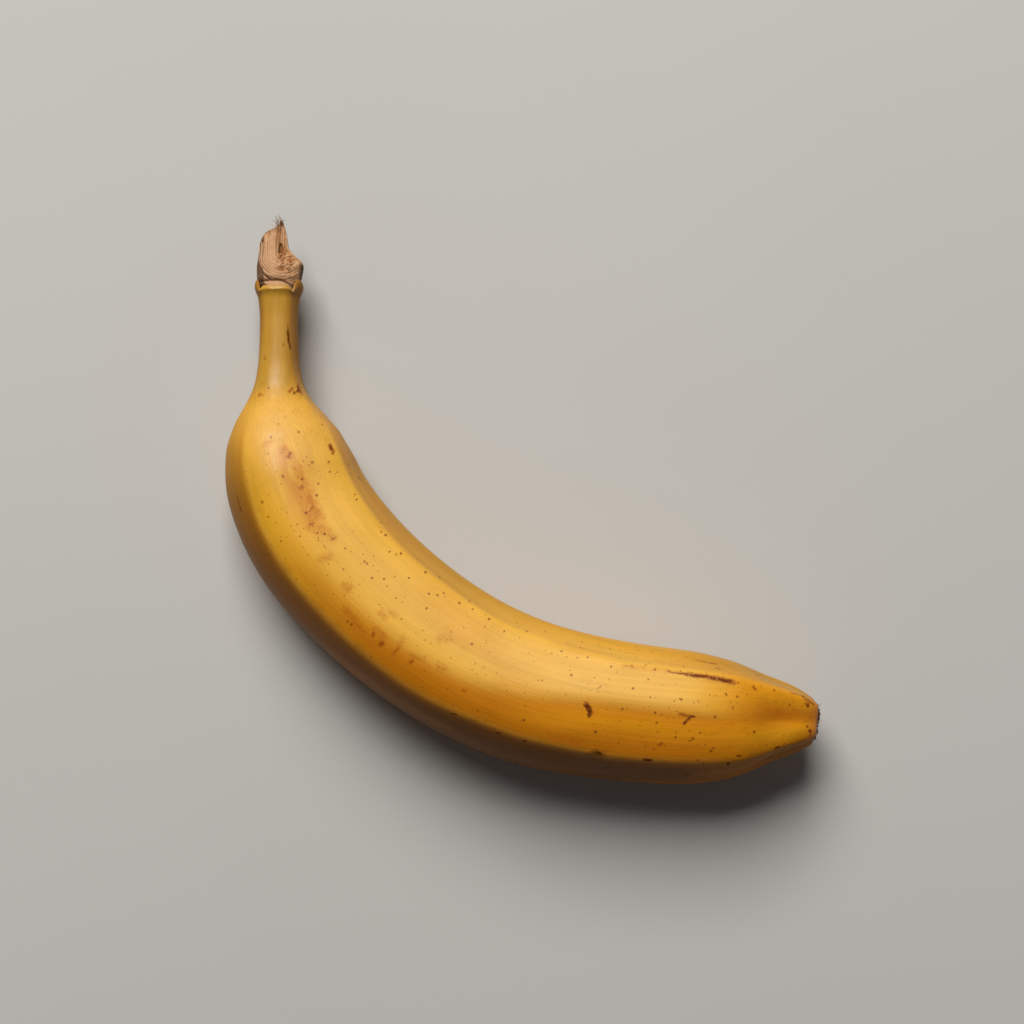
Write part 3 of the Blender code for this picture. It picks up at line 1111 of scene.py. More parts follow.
WASHES: tuple[Wash, ...] = (
    # Painted sheen on the crest and the shoulder, and the orange outer half: partly its own orange, partly
    # painted shade.
    Wash(PALE, 0.7, ((44, 60), (205, 165)), band=(From.CREST, 0, 26)),
    Wash(SHOULDER_SHEEN, 0.65, hump=(50, 7), band=(From.TOP, -3, 32)),
    Wash(ORANGE, 0.95, ((62, 112),), ((From.MIDDLE, 7, -12), (From.TOP, -150, -110))),
    # Painted shade on the side beyond the outer ridge and on the strip that nears it, and a broken darker
    # line along that ridge.
    Wash(SHADE, 0.9, ((42, 66),), ((From.OUTER, 4, -8), ABOVE_UNDERSIDE)),
    Wash(SHADE, 0.55, ((70, 125),), ((From.OUTER, 18, 1), ABOVE_UNDERSIDE)),
    Wash(SHADE, 0.45, ((125, 155),), ((From.OUTER, 18, 1), ABOVE_UNDERSIDE)),
    Wash(DEEP_SHADE, 0.5, ((46, 70),), ((From.OUTER, 1, -14), (From.TOP, -112, -84)), more=((0.2, 90, 130),)),
    Wash(SHADE, 0.5, ((60, 80),), band=(From.OUTER, 1, 4), broken=(Grain.GRIT, 0.3, 0.8)),
    # Painted highlight on the bulge below the middle ridge, in the tip half.
    Wash(RIDGE_HIGHLIGHT, 0.6, ((132, 155),), band=(From.MIDDLE, -13, 7)),
    # Painted shade on the side beyond the ridge on the hollow side and on the shoulder, with a line below
    # that ridge.
    Wash(DULL_SHADE, 0.65, ((46, 62),), ((From.HOLLOW, -2, 6), (From.TOP, 170, 120)),
         more=((-0.35, 110, 140), (0.5, 172, 190))),
    Wash(DULL_SHADE, 0.4, ((80, 56),)),
    Wash(BROWN, 0.35, ((50, 65), (140, 110)), band=(From.HOLLOW, 3, 2.5)),
    # The tip, with painted shade on its outer side and reddish painted shade in its dent.
    Wash(AMBER, 0.75, ((178, 196),), ((From.TOP, 55, 35),)),
    Wash(SHADE, 0.65, ((176, 192),), ((From.OUTER, 26, 2), ABOVE_UNDERSIDE)),
    Wash(DENT_SHADE, 0.8, hump=(202, 6), band=(From.TOP, 9, 9)),
    Wash(GREEN, 0.35, hump=(203, 7), band=(From.TOP, -20, 10)),
    Wash(ORANGE, 0.35, broken=(Grain.PATCH, 0, 1)),
    # The stem, with painted shade on both of its sides.
    Wash(STEM, 1.0, ((46, 39),)),
    Wash(BROWN, 0.8, ((44, 34),), ((From.TOP, 12, 50),)),
    Wash(BROWN, 0.7, ((36, 22),), ((From.TOP, -30, -60),)),
    # Painted shade in the groove beside the middle ridge, and paler lines along the ridges.
    Wash(ORANGE, 0.6, hump=(176, 18), band=(From.MIDDLE, -6, 5)),
    Wash(PALE, 0.2, RIDGE_SPAN, band=(From.HOLLOW, 0, 2.2)),
    Wash(PALE, 0.2, RIDGE_SPAN, band=(From.OUTER, 0, 2.2)),
    Wash(PALE, 0.2, RIDGE_SPAN, band=(From.MIDDLE, 0, 2.2)),
    # The scuff on the shoulder, the lip and the edge of the blossom end.
    Wash(BRUISE, 0.6, SCUFF_SPAN, band=SCUFF_BAND, broken=(Grain.CLOUD, 0.5, 1.1)),
    Wash(FLESH, 0.3, ((LIP_START + 0.7, LIP_START + 0.1),)),
    Wash(BROWN, 0.75, ((LIP_START + 3.0, LIP_START + 0.2),), ((From.LIP, 36, 48),)),
    Wash(BRUISE, 0.8, ((BLOSSOM_START - 2.5, BLOSSOM_START + 0.3),)),
)


@dataclass
class Peel:
    """The whole yellow skin, from the torn lip of the stem to the blossom end."""

    axis: FruitAxis
    section: PeelSection
    flat: PeelMap
    viewpoint: Viewpoint
    sight_rounds: int = 12
    tape_scale: float = 1.0041
    tape_shift: tuple[float, float] = (-0.58, 0.33)
    outer_rings: int = 520
    points_per_ring: int = 176
    lip_start: float = LIP_START
    lip_thickness: float = 0.5
    blossom_start: float = BLOSSOM_START
    blossom_thickness: float = 1.5
    inner_depth: float = 4.5
    rounding_rings: int = 9
    notches: tuple[tuple[float, float, float], ...] = (
        (1.0, 36, 5), (0.7, -50, 6), (-0.5, -78, 12), (-0.3, 72, 9), (0.9, 140, 8), (0.5, -150, 10),
    )
    inner_rings: int = 8
    foot_rounding: float = 0.12
    drying_depth: float = 1.2
    fewest_freckles: float = 0.04
    top_shine: float = 0.40
    least_shine: float = 0.06

    def profile(self) -> tuple[np.ndarray, np.ndarray, np.ndarray]:
        """Returns each ring's distance along, inset from the skin and map distance.

        The skin starts deep inside the stem, runs out to the lip, turns over
        it in a half circle, covers the fruit, turns over the blossom end in
        another half circle and runs back inside.
        """
        turn = np.linspace(0.0, math.pi, self.rounding_rings)
        depth = np.linspace(self.inner_depth, 0.5, self.inner_rings)
        half_lip = self.lip_thickness / 2
        half_end = self.blossom_thickness / 2
        body = np.linspace(self.lip_start + 0.35, self.blossom_start - 0.2, self.outer_rings)
        along = np.concatenate([
            self.lip_start + depth,
            self.lip_start - half_lip * np.sin(turn),
            body,
            self.blossom_start + half_end * np.sin(turn),
            self.blossom_start - depth[::-1],
        ])
        inset = np.concatenate([
            np.full(self.inner_rings, 2 * half_lip),
            half_lip * (1 + np.cos(turn)),
            np.zeros(self.outer_rings),
            half_end * (1 - np.cos(turn)),
            np.full(self.inner_rings, 2 * half_end),
        ])
        run = np.concatenate([[0.0], np.cumsum(np.hypot(np.diff(along), np.diff(inset)))])
        first_body = self.inner_rings + self.rounding_rings
        return along, inset, run - run[first_body] + along[first_body]

    def piece(self) -> Piece:
        """Works out the peel's surface, its flat map and its stored values.

        The rings are pressed flat on the floor by a soft maximum of their
        height and the floor's.
        """
        along, inset, mapped = self.profile()
        angles = ring_angles(self.points_per_ring)
        across, upward = self.section.outline(along, angles)
        half_width = self.axis.half_width.at(along)
        share = 1.0 - inset / half_width
        across = across * share[:, None]
        upward = upward * share[:, None]
        ragged = self.lip_notches(angles)[None, :] * bell(along, self.lip_start, 1.1)[:, None]
        ring_along = along[:, None] + ragged
        skin = self.axis.place(ring_along, across, upward)
        floor = self.axis.box[0].z
        rise = skin[..., 2] - floor
        skin[..., 2] = floor + 0.5 * (rise + np.sqrt(rise**2 + (self.foot_rounding * MM) ** 2))
        ends = self.axis.place(along[[0, -1]] + np.array([0.5, -0.5]), 0.0, 0.0)
        straight = grid_points(ring_along, across, upward)
        poles = grid_points(along[[0, -1]], 0.0, 0.0)
        tint, freckling = self.tint(along, angles, inset)
        gloss = self.gloss(along, angles)
        return Piece(
            name="banana_peel",
            points=np.vstack([skin.reshape(-1, 3), ends]),
            faces=closed_faces(*across.shape),
            corner_map=self.corner_map(across, upward, mapped),
            values={
                "straight": np.vstack([straight, poles]),
                "ground": np.vstack([tint.reshape(-1, 3), [FLESH, ORANGE]]),
                "freckling": np.append(freckling.ravel(), [0.0, 0.0]),
                "gloss": np.append(gloss.ravel(), [0.0, 0.0]),
                **self.mark_layers().values(self.flat_places(across, upward, mapped)),
            },
        )

    def flat_places(self, across: np.ndarray, upward: np.ndarray, mapped: np.ndarray) -> np.ndarray:
        """Returns every point's distance along and around, in millimetres, poles last."""
        around = self.around(across, upward)[:, :-1]
        grid = np.stack([np.broadcast_to(mapped[:, None], around.shape), around], axis=-1)
        return np.vstack([grid.reshape(-1, 2), [[mapped[0], 0.0], [mapped[-1], 0.0]]])

    def corner_map(self, across: np.ndarray, upward: np.ndarray, mapped: np.ndarray) -> np.ndarray:
        """Returns the map place of every face corner, in the order of the faces.

        Along is the length of skin passed so far, and around is the length of
        the ring from its top. The ring's last stretch closes underneath.
        """
        around = self.around(across, upward)
        grid = self.flat.corner(np.broadcast_to(mapped[:, None], around.shape), around)
        near, far = grid[:-1], grid[1:]
        quads = np.stack([near[:, :-1], near[:, 1:], far[:, 1:], far[:, :-1]], axis=2).reshape(-1, 2)
        step = 0.4 / self.flat.long_span
        start_pole = np.broadcast_to(grid[0].mean(axis=0) - [step, 0.0], grid[0, 1:].shape)
        end_pole = np.broadcast_to(grid[-1].mean(axis=0) + [step, 0.0], grid[0, 1:].shape)
        start_fan = np.stack([grid[0, 1:], grid[0, :-1], start_pole], axis=1).reshape(-1, 2)
        end_fan = np.stack([grid[-1, :-1], grid[-1, 1:], end_pole], axis=1).reshape(-1, 2)
        return np.vstack([quads, start_fan, end_fan])

    @staticmethod
    def around(across: np.ndarray, upward: np.ndarray) -> np.ndarray:
        """Returns the length round each ring, from the top, with the closing point added."""
        across = np.hstack([across, across[:, :1]])
        upward = np.hstack([upward, upward[:, :1]])
        run = np.cumsum(np.hypot(np.diff(across, axis=1), np.diff(upward, axis=1)), axis=1)
        run = np.hstack([np.zeros((len(run), 1)), run])
        top = across.shape[1] // 2
        return run - run[:, top:top + 1]

    def lip_notches(self, angles: np.ndarray) -> np.ndarray:
        """Returns how far the torn lip is pushed back along the stem at each angle.

        The tear is further back on top. Each notch adds a bell with a
        depth, a middle and a spread.
        """
        degrees = np.degrees(angles)
        place = np.stack([3 * np.sin(angles), 3 * np.cos(angles), 0 * angles], axis=-1)
        ragged = 0.2 * rough_noise(place, SEED + 3, 3)
        ragged += 1.2 * smooth_step(np.abs(degrees - LIP_MIDDLE), 62, 40)
        for depth, middle, spread in self.notches:
            ragged += depth * bell(degrees, middle, spread)
        return ragged

    def gloss(self, along: np.ndarray, angles: np.ndarray) -> np.ndarray:
        """Returns the peel's shine: most on the upper sides, little beyond the outer ridges."""
        turn = np.degrees(angles)[None, :]
        outer = self.section.ridges[2].at(along)[:, None]
        hollow = self.section.ridges[4].at(along)[:, None]
        upper = smooth_step(turn, outer - 8, outer + 22) * smooth_step(turn, hollow + 30, hollow + 2)
        a = along[:, None]
        scuffed = bell(turn, 6, 10) * smooth_step(a, 48, 58) * smooth_step(a, 86, 76)
        return self.least_shine + (self.top_shine - self.least_shine) * upper * (1 - 0.5 * scuffed)

    def turns(self, along: np.ndarray, angles: np.ndarray) -> dict[From, np.ndarray]:
        """Returns every point's angle from each thing that angles count from, in degrees."""
        turn = np.degrees(angles)[None, :]
        outer, middle, hollow = (ridge.at(along)[:, None] for ridge in self.section.ridges[2:5])
        starts = {
            From.TOP: 0.0, From.OUTER: outer, From.MIDDLE: middle, From.HOLLOW: hollow,
            From.CREST: (middle + hollow) / 2,
        }
        return {**{name: turn - start for name, start in starts.items()}, From.LIP: np.abs(turn - LIP_MIDDLE)}

    def tint(self, along: np.ndarray, angles: np.ndarray, inset: np.ndarray) -> tuple[np.ndarray, np.ndarray]:
        """Returns the peel's slow changes of colour and how freckled it is.

        The washes are laid on one by one over gold, and the turned-in edge of the blossom end is dried. Some
        washes are painted shade and painted sheen. The freckles are fewest on the upper sides and most on the
        scuff and towards the tip.
        """
        a = along[:, None]
        turns = self.turns(along, angles)
        place = np.stack(np.broadcast_arrays(a / 30, 2 * np.sin(angles), 2 * np.cos(angles)), axis=-1)
        grains = {}
        for grain in Grain:
            seed, fine_along, fine_around, octaves = grain.value
            fineness = np.array([fine_along, fine_around, fine_around])
            grains[grain] = rough_noise(place * fineness, SEED + seed, octaves)
        colour = np.broadcast_to(np.array(GOLD), place.shape)
        for wash in WASHES:
            colour = blend_colours(colour, wash.colour, wash.weight(a, turns, grains))
        drying = np.clip(inset / self.drying_depth, 0, 1)[:, None] * (a > self.blossom_start / 2)
        colour = blend_colours(colour, DRIED, drying)
        off_top = np.abs(turns[From.TOP])
        scuff = Wash(BRUISE, 1.0, SCUFF_SPAN, band=SCUFF_BAND).weight(a, turns, grains)
        freckling = 0.6 - 0.15 * smooth_step(off_top, 75, 50) + 0.9 * scuff + 0.25 * smooth_step(a, 120, 185)
        freckling = freckling * smooth_step(a, 30, 52) * smooth_step(off_top, 178, 168)
        return colour, np.clip(freckling + self.fewest_freckles, 0.0, 1.0)

    def on_skin(self, seen: np.ndarray) -> np.ndarray:
        """Works out where on the skin the places seen from the viewpoint lie.

        A point of the skin appears on the middle level along the straight
        line from the viewpoint. Each round works out where the present
        places appear and moves them by what is still missing. The tape that
        the marks were measured with lies a little off the axis.

        Args:
            seen: Distance along and offset across, as seen, in millimetres.

        Returns:
            Distance along and offset across of the places on the skin.
        """
        eye = self.viewpoint.place()
        level = self.viewpoint.level()
        found = seen * self.tape_scale + np.array(self.tape_shift)
        wanted = self.axis.place(found[:, 0], found[:, 1], 0.0)[:, :2]
        for _ in range(self.sight_rounds):
            skin = zip(found[:, 1], *self.upper_outline(found[:, 0]))
            lift = np.array([np.interp(*ring) for ring in skin])
            point = self.axis.place(found[:, 0], found[:, 1], lift)
            drop = (eye[2] - level) / (eye[2] - point[:, 2:])
            missing = (wanted - eye[:2] - (point[:, :2] - eye[:2]) * drop) / (MM * self.axis.scale)
            turn = np.interp(found[:, 0], self.axis.fine, self.axis.turn)
            ahead = missing[:, 0] * np.cos(turn) + missing[:, 1] * np.sin(turn)
            aside = missing[:, 1] * np.cos(turn) - missing[:, 0] * np.sin(turn)
            found = found + 0.8 * np.stack([ahead, aside], axis=1)
        return found

    def upper_outline(self, along: np.ndarray) -> tuple[np.ndarray, np.ndarray]:
        """Returns the outline's upper half, from side to side in steps of a degree."""
        across, upward = self.section.outline(along, np.radians(np.arange(-90, 270)))
        return across[:, :181], upward[:, :181]

    def mark_layers(self) -> MarkLayers:
        """Returns the marks with their ends laid out on the flat map, in millimetres."""
        ends = self.on_skin(np.array([[mark.start, mark.end] for mark in MARKS]).reshape(-1, 2))
        across, upward = self.upper_outline(ends[:, 0])
        run = np.cumsum(np.hypot(np.diff(across, axis=1), np.diff(upward, axis=1)), axis=1)
        run = np.hstack([np.zeros((len(run), 1)), run])
        around = run - run[:, 90:91]
        laid = [np.interp(want, across[k], around[k]) for k, want in enumerate(ends[:, 1])]
        flat = np.stack([ends[:, 0], laid], axis=-1).reshape(-1, 2, 2)
        found = {kind: [] for kind in MarkKind}
        for mark, (start, end) in zip(MARKS, flat):
            found[mark.kind].append((start, end, mark.half_width))
        return MarkLayers(found)

    def build(self) -> bpy.types.Object:
        """Builds the peel and dresses it."""
        marks = self.mark_layers()
        counts = {kind: len(marks.sorted_layers(kind)) for kind in MarkKind}
        return self.piece().build(PeelFinish(self.flat, counts).material(), "banana_peel")


# ------------------------------------------------------------- torn stalk


@dataclass(frozen=True)
class TornShape:
    """The torn end of the stalk: a rounded stub with its top ripped open.

    Fibres run down the outer side from the peak, turn under a pit and end at
    the low shoulder on the hollow side. They lie along lines of equal
    distance from a core line, which starts at the peak and ends in the pit.
    On the hollow side they follow the torn edge instead. All lengths are
    millimetres; along counts from the peak and across towards the hollow.
    """

    outer_edge: Course = Course((
        (0.1, 0.15), (1.0, -0.1), (1.7, -0.8), (2.2, -2.0), (3.1, -3.5), (4.3, -4.3), (6.2, -4.8),
        (8.8, -5.1), (11.7, -5.4), (14.2, -5.3), (15.4, -5.0), (16.6, -4.3), (18.5, -3.9),
    ))
    torn_edge: Course = Course((
        (0.1, 0.75), (1.0, 1.1), (1.9, 1.4), (4.1, 1.9), (6.6, 2.3), (8.2, 3.3), (9.4, 4.6), (10.3, 5.6),
        (11.2, 5.9), (13.2, 5.6), (14.8, 5.2), (15.6, 4.9), (16.6, 4.3), (18.5, 3.9),
    ))
    rim_height: Course = Course((
        (0.1, 2.0), (1.0, 1.9), (4.0, 1.2), (8.0, 0.6), (11.0, 0.4), (14.0, 0.1), (18.5, 0.0),
    ))
    dome: Course = Course((
        (0.1, 0.2), (1.0, 0.4), (2.2, 1.0), (4.0, 2.2), (8.0, 3.6), (12.0, 4.6), (14.2, 4.8), (15.2, 4.4),
        (17.0, 4.5), (18.5, 4.0),
    ))
    keel: Course = Course((
        (0.1, 0.2), (1.0, 0.6), (2.0, 1.6), (4.0, 2.8), (8.0, 4.4), (12.0, 5.1), (14.6, 5.1), (16.6, 4.2),
        (18.5, 3.8),
    ))
    collar: float = 15.3
    core_across: float = 0.9
    core_end: float = 9.3
    strand_width: float = 0.5
    pit_start: float = 5.6

    def middle(self, along: np.ndarray) -> np.ndarray:
        """Returns the middle of the stub's width."""
        return (self.outer_edge.at(along) + self.torn_edge.at(along)) / 2

    def reach(self, along: np.ndarray) -> np.ndarray:
        """Returns half the stub's width."""
        return (self.torn_edge.at(along) - self.outer_edge.at(along)) / 2

    def flow(self, along: np.ndarray, across: np.ndarray) -> np.ndarray:
        """Returns how far a place lies from the line that the fibres wrap round.

        Beside the core line that is the distance to it, below its end the
        distance to the end. Near the torn edge it is the distance to that
        edge, mixed in by a smooth weight.
        """
        beyond = np.maximum(along - self.core_end, 0.0)
        wrapped = np.hypot(beyond, across - self.core_across)
        edge = self.torn_edge.at(along) - across
        near_edge = smooth_step(across, self.core_across + 0.2, self.core_across + 1.4)
        near_edge = near_edge * smooth_step(along, 11.5, 9.5)
        return wrapped * (1 - near_edge) + edge * near_edge

    def broken(self, along: np.ndarray, across: np.ndarray) -> np.ndarray:
        """Returns 1 where the tissue is torn rough, between pit and shoulder."""
        return bell(along, 10.9, 1.9) * smooth_step(across, -0.3, 0.9) * smooth_step(across, 5.2, 3.8)

    def pit(self, along: np.ndarray, across: np.ndarray) -> np.ndarray:
        """Returns 1 in the dark pit and 0 well away from it."""
        lean = np.abs(across - 0.75 + 0.12 * (8.0 - along))
        width = 0.15 + 0.23 * (along - self.pit_start)
        inside = smooth_step(lean, width + 0.15, width - 0.1)
        ends = smooth_step(along, self.pit_start, self.pit_start + 0.8) * smooth_step(along, 9.0, 8.5)
        return inside * ends

    def dip(self, along: np.ndarray, across: np.ndarray, length: float) -> np.ndarray:
        """Returns 1 in the small dip above the collar, which is as long as given."""
        return bell(along, 13.1, length) * bell(across, 0.9, 0.9)

    def strands(self, along: np.ndarray, across: np.ndarray) -> tuple[np.ndarray, np.ndarray]:
        """Returns each place's height within its strand and the strand's shade.

        The flow distance is shaken by slow noise and cut into strands. A
        strand's profile is a half round between two grooves.
        """
        flow = self.flow(along, across)
        place = np.stack(np.broadcast_arrays(along * 0.12, flow * 1.1, 0.5), axis=-1)
        number = flow / self.strand_width + 0.55 * noise(place, SEED + 21)
        part = number - np.floor(number)
        rounded = np.sqrt(np.clip(1 - (2 * part - 1) ** 2, 0, 1))
        shade = cell_value(np.stack([np.floor(number), 0 * number, 0 * number], axis=-1), SEED + 22)
        fine = noise(np.stack(np.broadcast_arrays(along * 0.4, flow * 7.0, 2.5), axis=-1), SEED + 23)
        return rounded + 0.25 * fine, shade

    def arch(self, along: np.ndarray, across: np.ndarray) -> np.ndarray:
        """Returns the half circle over the stub's width: 1 in its middle, 0 at its edges."""
        reach = np.maximum(self.reach(along), 0.05)
        share = np.clip((across - self.middle(along)) / reach, -1, 1)
        return np.sqrt(np.clip(1 - share**2, 0, 1))

    def top(self, along: np.ndarray, across: np.ndarray) -> np.ndarray:
        """Returns the height of the torn face over the axis."""
        arch = self.arch(along, across)
        height = self.rim_height.at(along) + self.dome.at(along) * arch
        hollowed = smooth_step(across, -0.8, 1.2) * smooth_step(along, 12.8, 9.6) * arch
        sunk = 0.9 * self.pit(along, across) + 0.5 * self.dip(along, across, 0.35)
        height = height - 1.3 * hollowed - sunk * arch
        strand, shade = self.strands(along, across)
        rough = self.broken(along, across)
        above_collar = smooth_step(along, self.collar + 0.2, self.collar - 0.2)
        calm = (1 - rough) * above_collar * np.minimum(arch * 1.6, 1)
        height = height + calm * (0.17 * strand + 0.20 * (shade - 0.5))
        place = np.stack([along * 1.1, across * 1.5, 0 * along], axis=-1)
        height = height + rough * 0.7 * rough_noise(place, SEED + 24, 4) * arch
        return height - 0.45 * self.split(along, across) * arch

    def split(self, along: np.ndarray, across: np.ndarray) -> np.ndarray:
        """Returns 1 in the dark split between the fibres and the fleshy collar below them."""
        return bell(along - self.collar - 0.09 * np.maximum(across, 0.0) ** 2, 0.0, 0.17)

    def bottom(self, along: np.ndarray, across: np.ndarray) -> np.ndarray:
        """Returns the height of the stub's dried underside over the axis, a negative number."""
        arch = self.arch(along, across)
        ribs = np.abs(np.sin(across * 2.6 + 0.6 * np.sin(along * 0.7)))
        return self.rim_height.at(along) - (self.keel.at(along) + 0.18 * ribs) * arch


@dataclass(frozen=True)
class FibreFinish:
    """Torn stalk tissue: pale dry strands, tan between them, brown where dried and where shade is painted."""

    name: str
    pale: Colour
    tan: Colour
    dark: Colour
    roughness: float = 0.72

    def material(self) -> bpy.types.Material:
        """Builds the material from the stored shade and dryness of each place; both also carry painted shade.
        """
        wires = Wiring(self.name)
        place = wires.attribute("straight")
        shade = wires.attribute("shade", "Fac")
        dried_and_shade = wires.attribute("dried_and_shade", "Fac")
        grain = wires.noise(wires.stretched(place, (0.7, 6.0, 6.0)), 1.0, 4.0, 0.6)
        blotch = wires.noise(place, 1.3, 3.0)
        lit = wires.math("MULTIPLY_ADD", grain, 0.7, wires.math("SUBTRACT", shade, 0.35))
        lit = wires.math("MULTIPLY_ADD", blotch, 0.5, wires.math("SUBTRACT", lit, 0.25), clamp=True)
        colour = wires.blend(lit, self.tan, self.pale)
        worn = wires.math("MULTIPLY_ADD", wires.math("SUBTRACT", blotch, 0.5), 0.6, dried_and_shade, clamp=True)
        colour = wires.blend(wires.math("MULTIPLY", worn, wires.ramp(dried_and_shade, 0.02, 0.3)), colour, self.dark)
        height = wires.math("MULTIPLY_ADD", blotch, 0.4, grain)
        return wires.finish(
            Base_Color=colour,
            Roughness=self.roughness,
            Normal=wires.bump(height, 0.5, 0.00012),
            Specular_IOR_Level=0.25,
        )


@dataclass
class TornStalk:
    """The stub of fibres that sticks out of the stem's lip."""

    axis: FruitAxis
    shape: TornShape
    finish: FibreFinish
    rings: int = 300
    points_per_ring: int = 280
    start: float = 0.15
    end: float = 18.4
    border: float = -4.1
    underside_dryness: float = 0.9

    def piece(self) -> Piece:
        """Works out the stub: rings along the axis, closed by a pole at each end.

        Each ring's width follows the two edges. Its upper half follows the
        torn face and its lower half the dried underside.
        """
        along = np.linspace(self.start, self.end, self.rings)
        angles = ring_angles(self.points_per_ring)
        ring_along = np.broadcast_to(along[:, None], (self.rings, self.points_per_ring))
        across = self.shape.middle(along)[:, None] + self.shape.reach(along)[:, None] * np.sin(angles)
        over = np.cos(angles)[None, :] > 0
        top = self.shape.top(ring_along, across)
        upward = np.where(over, top, self.shape.bottom(ring_along, across))
        skin = self.axis.place(ring_along, across, upward)
        middle = self.shape.middle(along[[0, -1]])
        height = upward[[0, -1]].mean(axis=1)
        ends = self.axis.place(along[[0, -1]] + np.array([-0.1, 0.3]), middle, height)
        straight = grid_points(ring_along, across, upward)
        poles = grid_points(along[[0, -1]], middle, height)
        shade, dried_and_shade = self.colouring(ring_along, across, over, np.abs(np.sin(angles))[None, :])
        return Piece(
            name="torn_stalk",
            points=np.vstack([skin.reshape(-1, 3), ends]),
            faces=closed_faces(self.rings, self.points_per_ring),
            values={
                "straight": np.vstack([straight, poles]),
                "shade": np.append(shade.ravel(), [0.5, 0.5]),
                "dried_and_shade": np.append(dried_and_shade.ravel(), [1.0, 1.0]),
            },
        )

    def colouring(self, along: np.ndarray, across: np.ndarray, over: np.ndarray,
                  edge: np.ndarray) -> tuple[np.ndarray, np.ndarray]:
        """Works out the stub's colouring.

        Args:
            along: Distance from the peak.
            across: Offset towards the hollow side.
            over: Whether a place is on the torn face.
            edge: 0 in the middle of the width and 1 at its edges.

        Returns:
            How pale each place is, and how dark with drying and with painted shade, from 0 to 1.
        """
        strand, shade = self.shape.strands(along, across)
        rough = self.shape.broken(along, across)
        lumps = rough_noise(np.stack([along * 1.6, across * 1.9, 0 * along], axis=-1), SEED + 24, 3)
        flow = self.shape.flow(along, across)
        band = noise(np.stack([flow * 0.9, along * 0.12, 0 * along], axis=-1), SEED + 26)
        # Painted shade in the pit and the dip: they are made less pale and darker.
        hollow = np.maximum(self.shape.pit(along, across), self.shape.dip(along, across, 0.4))
        collar = smooth_step(along, self.shape.collar - 0.1, self.shape.collar + 0.3)
        # Painted shade between strands: each strand is paler on its rounded top than in the grooves beside
        # it.
        paleness = (0.3 + 0.45 * shade + 0.5 * strand - 0.7 * np.clip(band, 0, 1)) * (1 - rough)
        paleness = (paleness + rough * (0.5 + 0.9 * lumps)) * (1 - 0.9 * hollow)
        paleness = paleness * (1 - collar) + collar * (1.0 + 0.1 * lumps)
        dried_and_shade = np.where(over, smooth_step(edge, 0.93, 1.0), self.underside_dryness)
        dried_and_shade = np.maximum(dried_and_shade, 0.22 * hollow)
        dried_and_shade = np.maximum(dried_and_shade, 0.5 * bell(along, 0.8, 2.0) * (0.8 + 0.5 * lumps))
        dried_and_shade = dried_and_shade * (1 - 0.7 * collar)
        from_edge = across - self.border - 0.12 * np.maximum(along - 7.0, 0.0)
        border = smooth_step(from_edge, 0.1, -0.4) * smooth_step(along, 2.0, 5.0)
        strips = (shade < 0.5) * smooth_step(from_edge, 2.2, 0.9) * smooth_step(along, 3.0, 5.0)
        corner = bell(along, 2.5, 0.7) * smooth_step(across, -1.4, -2.6) * (0.7 + 0.6 * lumps)
        shoulder = smooth_step(across, 4.6, 5.6) * smooth_step(along, 10.6, 11.6)
        # Painted shade inside the lip and in the split under the fibres.
        inside_lip = smooth_step(along, 17.2, 17.8)
        parts = (
            0.6 * self.shape.split(along, across), inside_lip, 0.9 * shoulder,
            0.8 * np.maximum(border, strips), np.clip(corner, 0, 0.9),
        )
        for part in parts:
            dried_and_shade = np.maximum(dried_and_shade, part)
        return paleness, dried_and_shade

    def build(self) -> bpy.types.Object:
        """Builds the stub and dresses it."""
        return self.piece().build(self.finish.material(), "torn_stalk")


def tubes(paths: np.ndarray, radii: np.ndarray, sides: int) -> tuple[np.ndarray, list[np.ndarray]]:
    """Wraps a thin closed tube round each path.

    At each point the ring lies square to the path. Its first direction is
    the path's direction crossed with straight up, its second is square to
    both. A cone closes each end.

    Args:
        paths: Points as tube, place, 3, in metres.
        radii: Radius at each point, as tube, place, in metres.
        sides: Points in a ring.

    Returns:
        All points, and the quads and triangles.
    """
    count, places, _ = paths.shape
    ahead = np.gradient(paths, axis=1)
    ahead /= np.linalg.norm(ahead, axis=-1, keepdims=True)
    first = np.cross(ahead, np.array([0.03, 0.02, 1.0]))
    first /= np.linalg.norm(first, axis=-1, keepdims=True)
    second = np.cross(first, ahead)
    angles = ring_angles(sides, 0.0)
    spread = np.cos(angles)[:, None] * first[:, :, None] + np.sin(angles)[:, None] * second[:, :, None]
    rings = paths[:, :, None] + spread * radii[:, :, None, None]
    tips = paths[:, [0, -1]] + ahead[:, [0, -1]] * radii[:, [0, -1], None] * np.array([-1, 1])[None, :, None]
    points = np.concatenate([rings.reshape(count, -1, 3), tips], axis=1)
    size = places * sides + 2
    starts = (np.arange(count) * size)[:, None, None]
    quads = ring_faces(places, sides)[None] + starts
    near = fan_faces(0, sides, size - 2, flip=True)[None] + starts
    far = fan_faces((places - 1) * sides, sides, size - 1, flip=False)[None] + starts
    return points.reshape(-1, 3), [quads.reshape(-1, 4), near.reshape(-1, 3), far.reshape(-1, 3)]


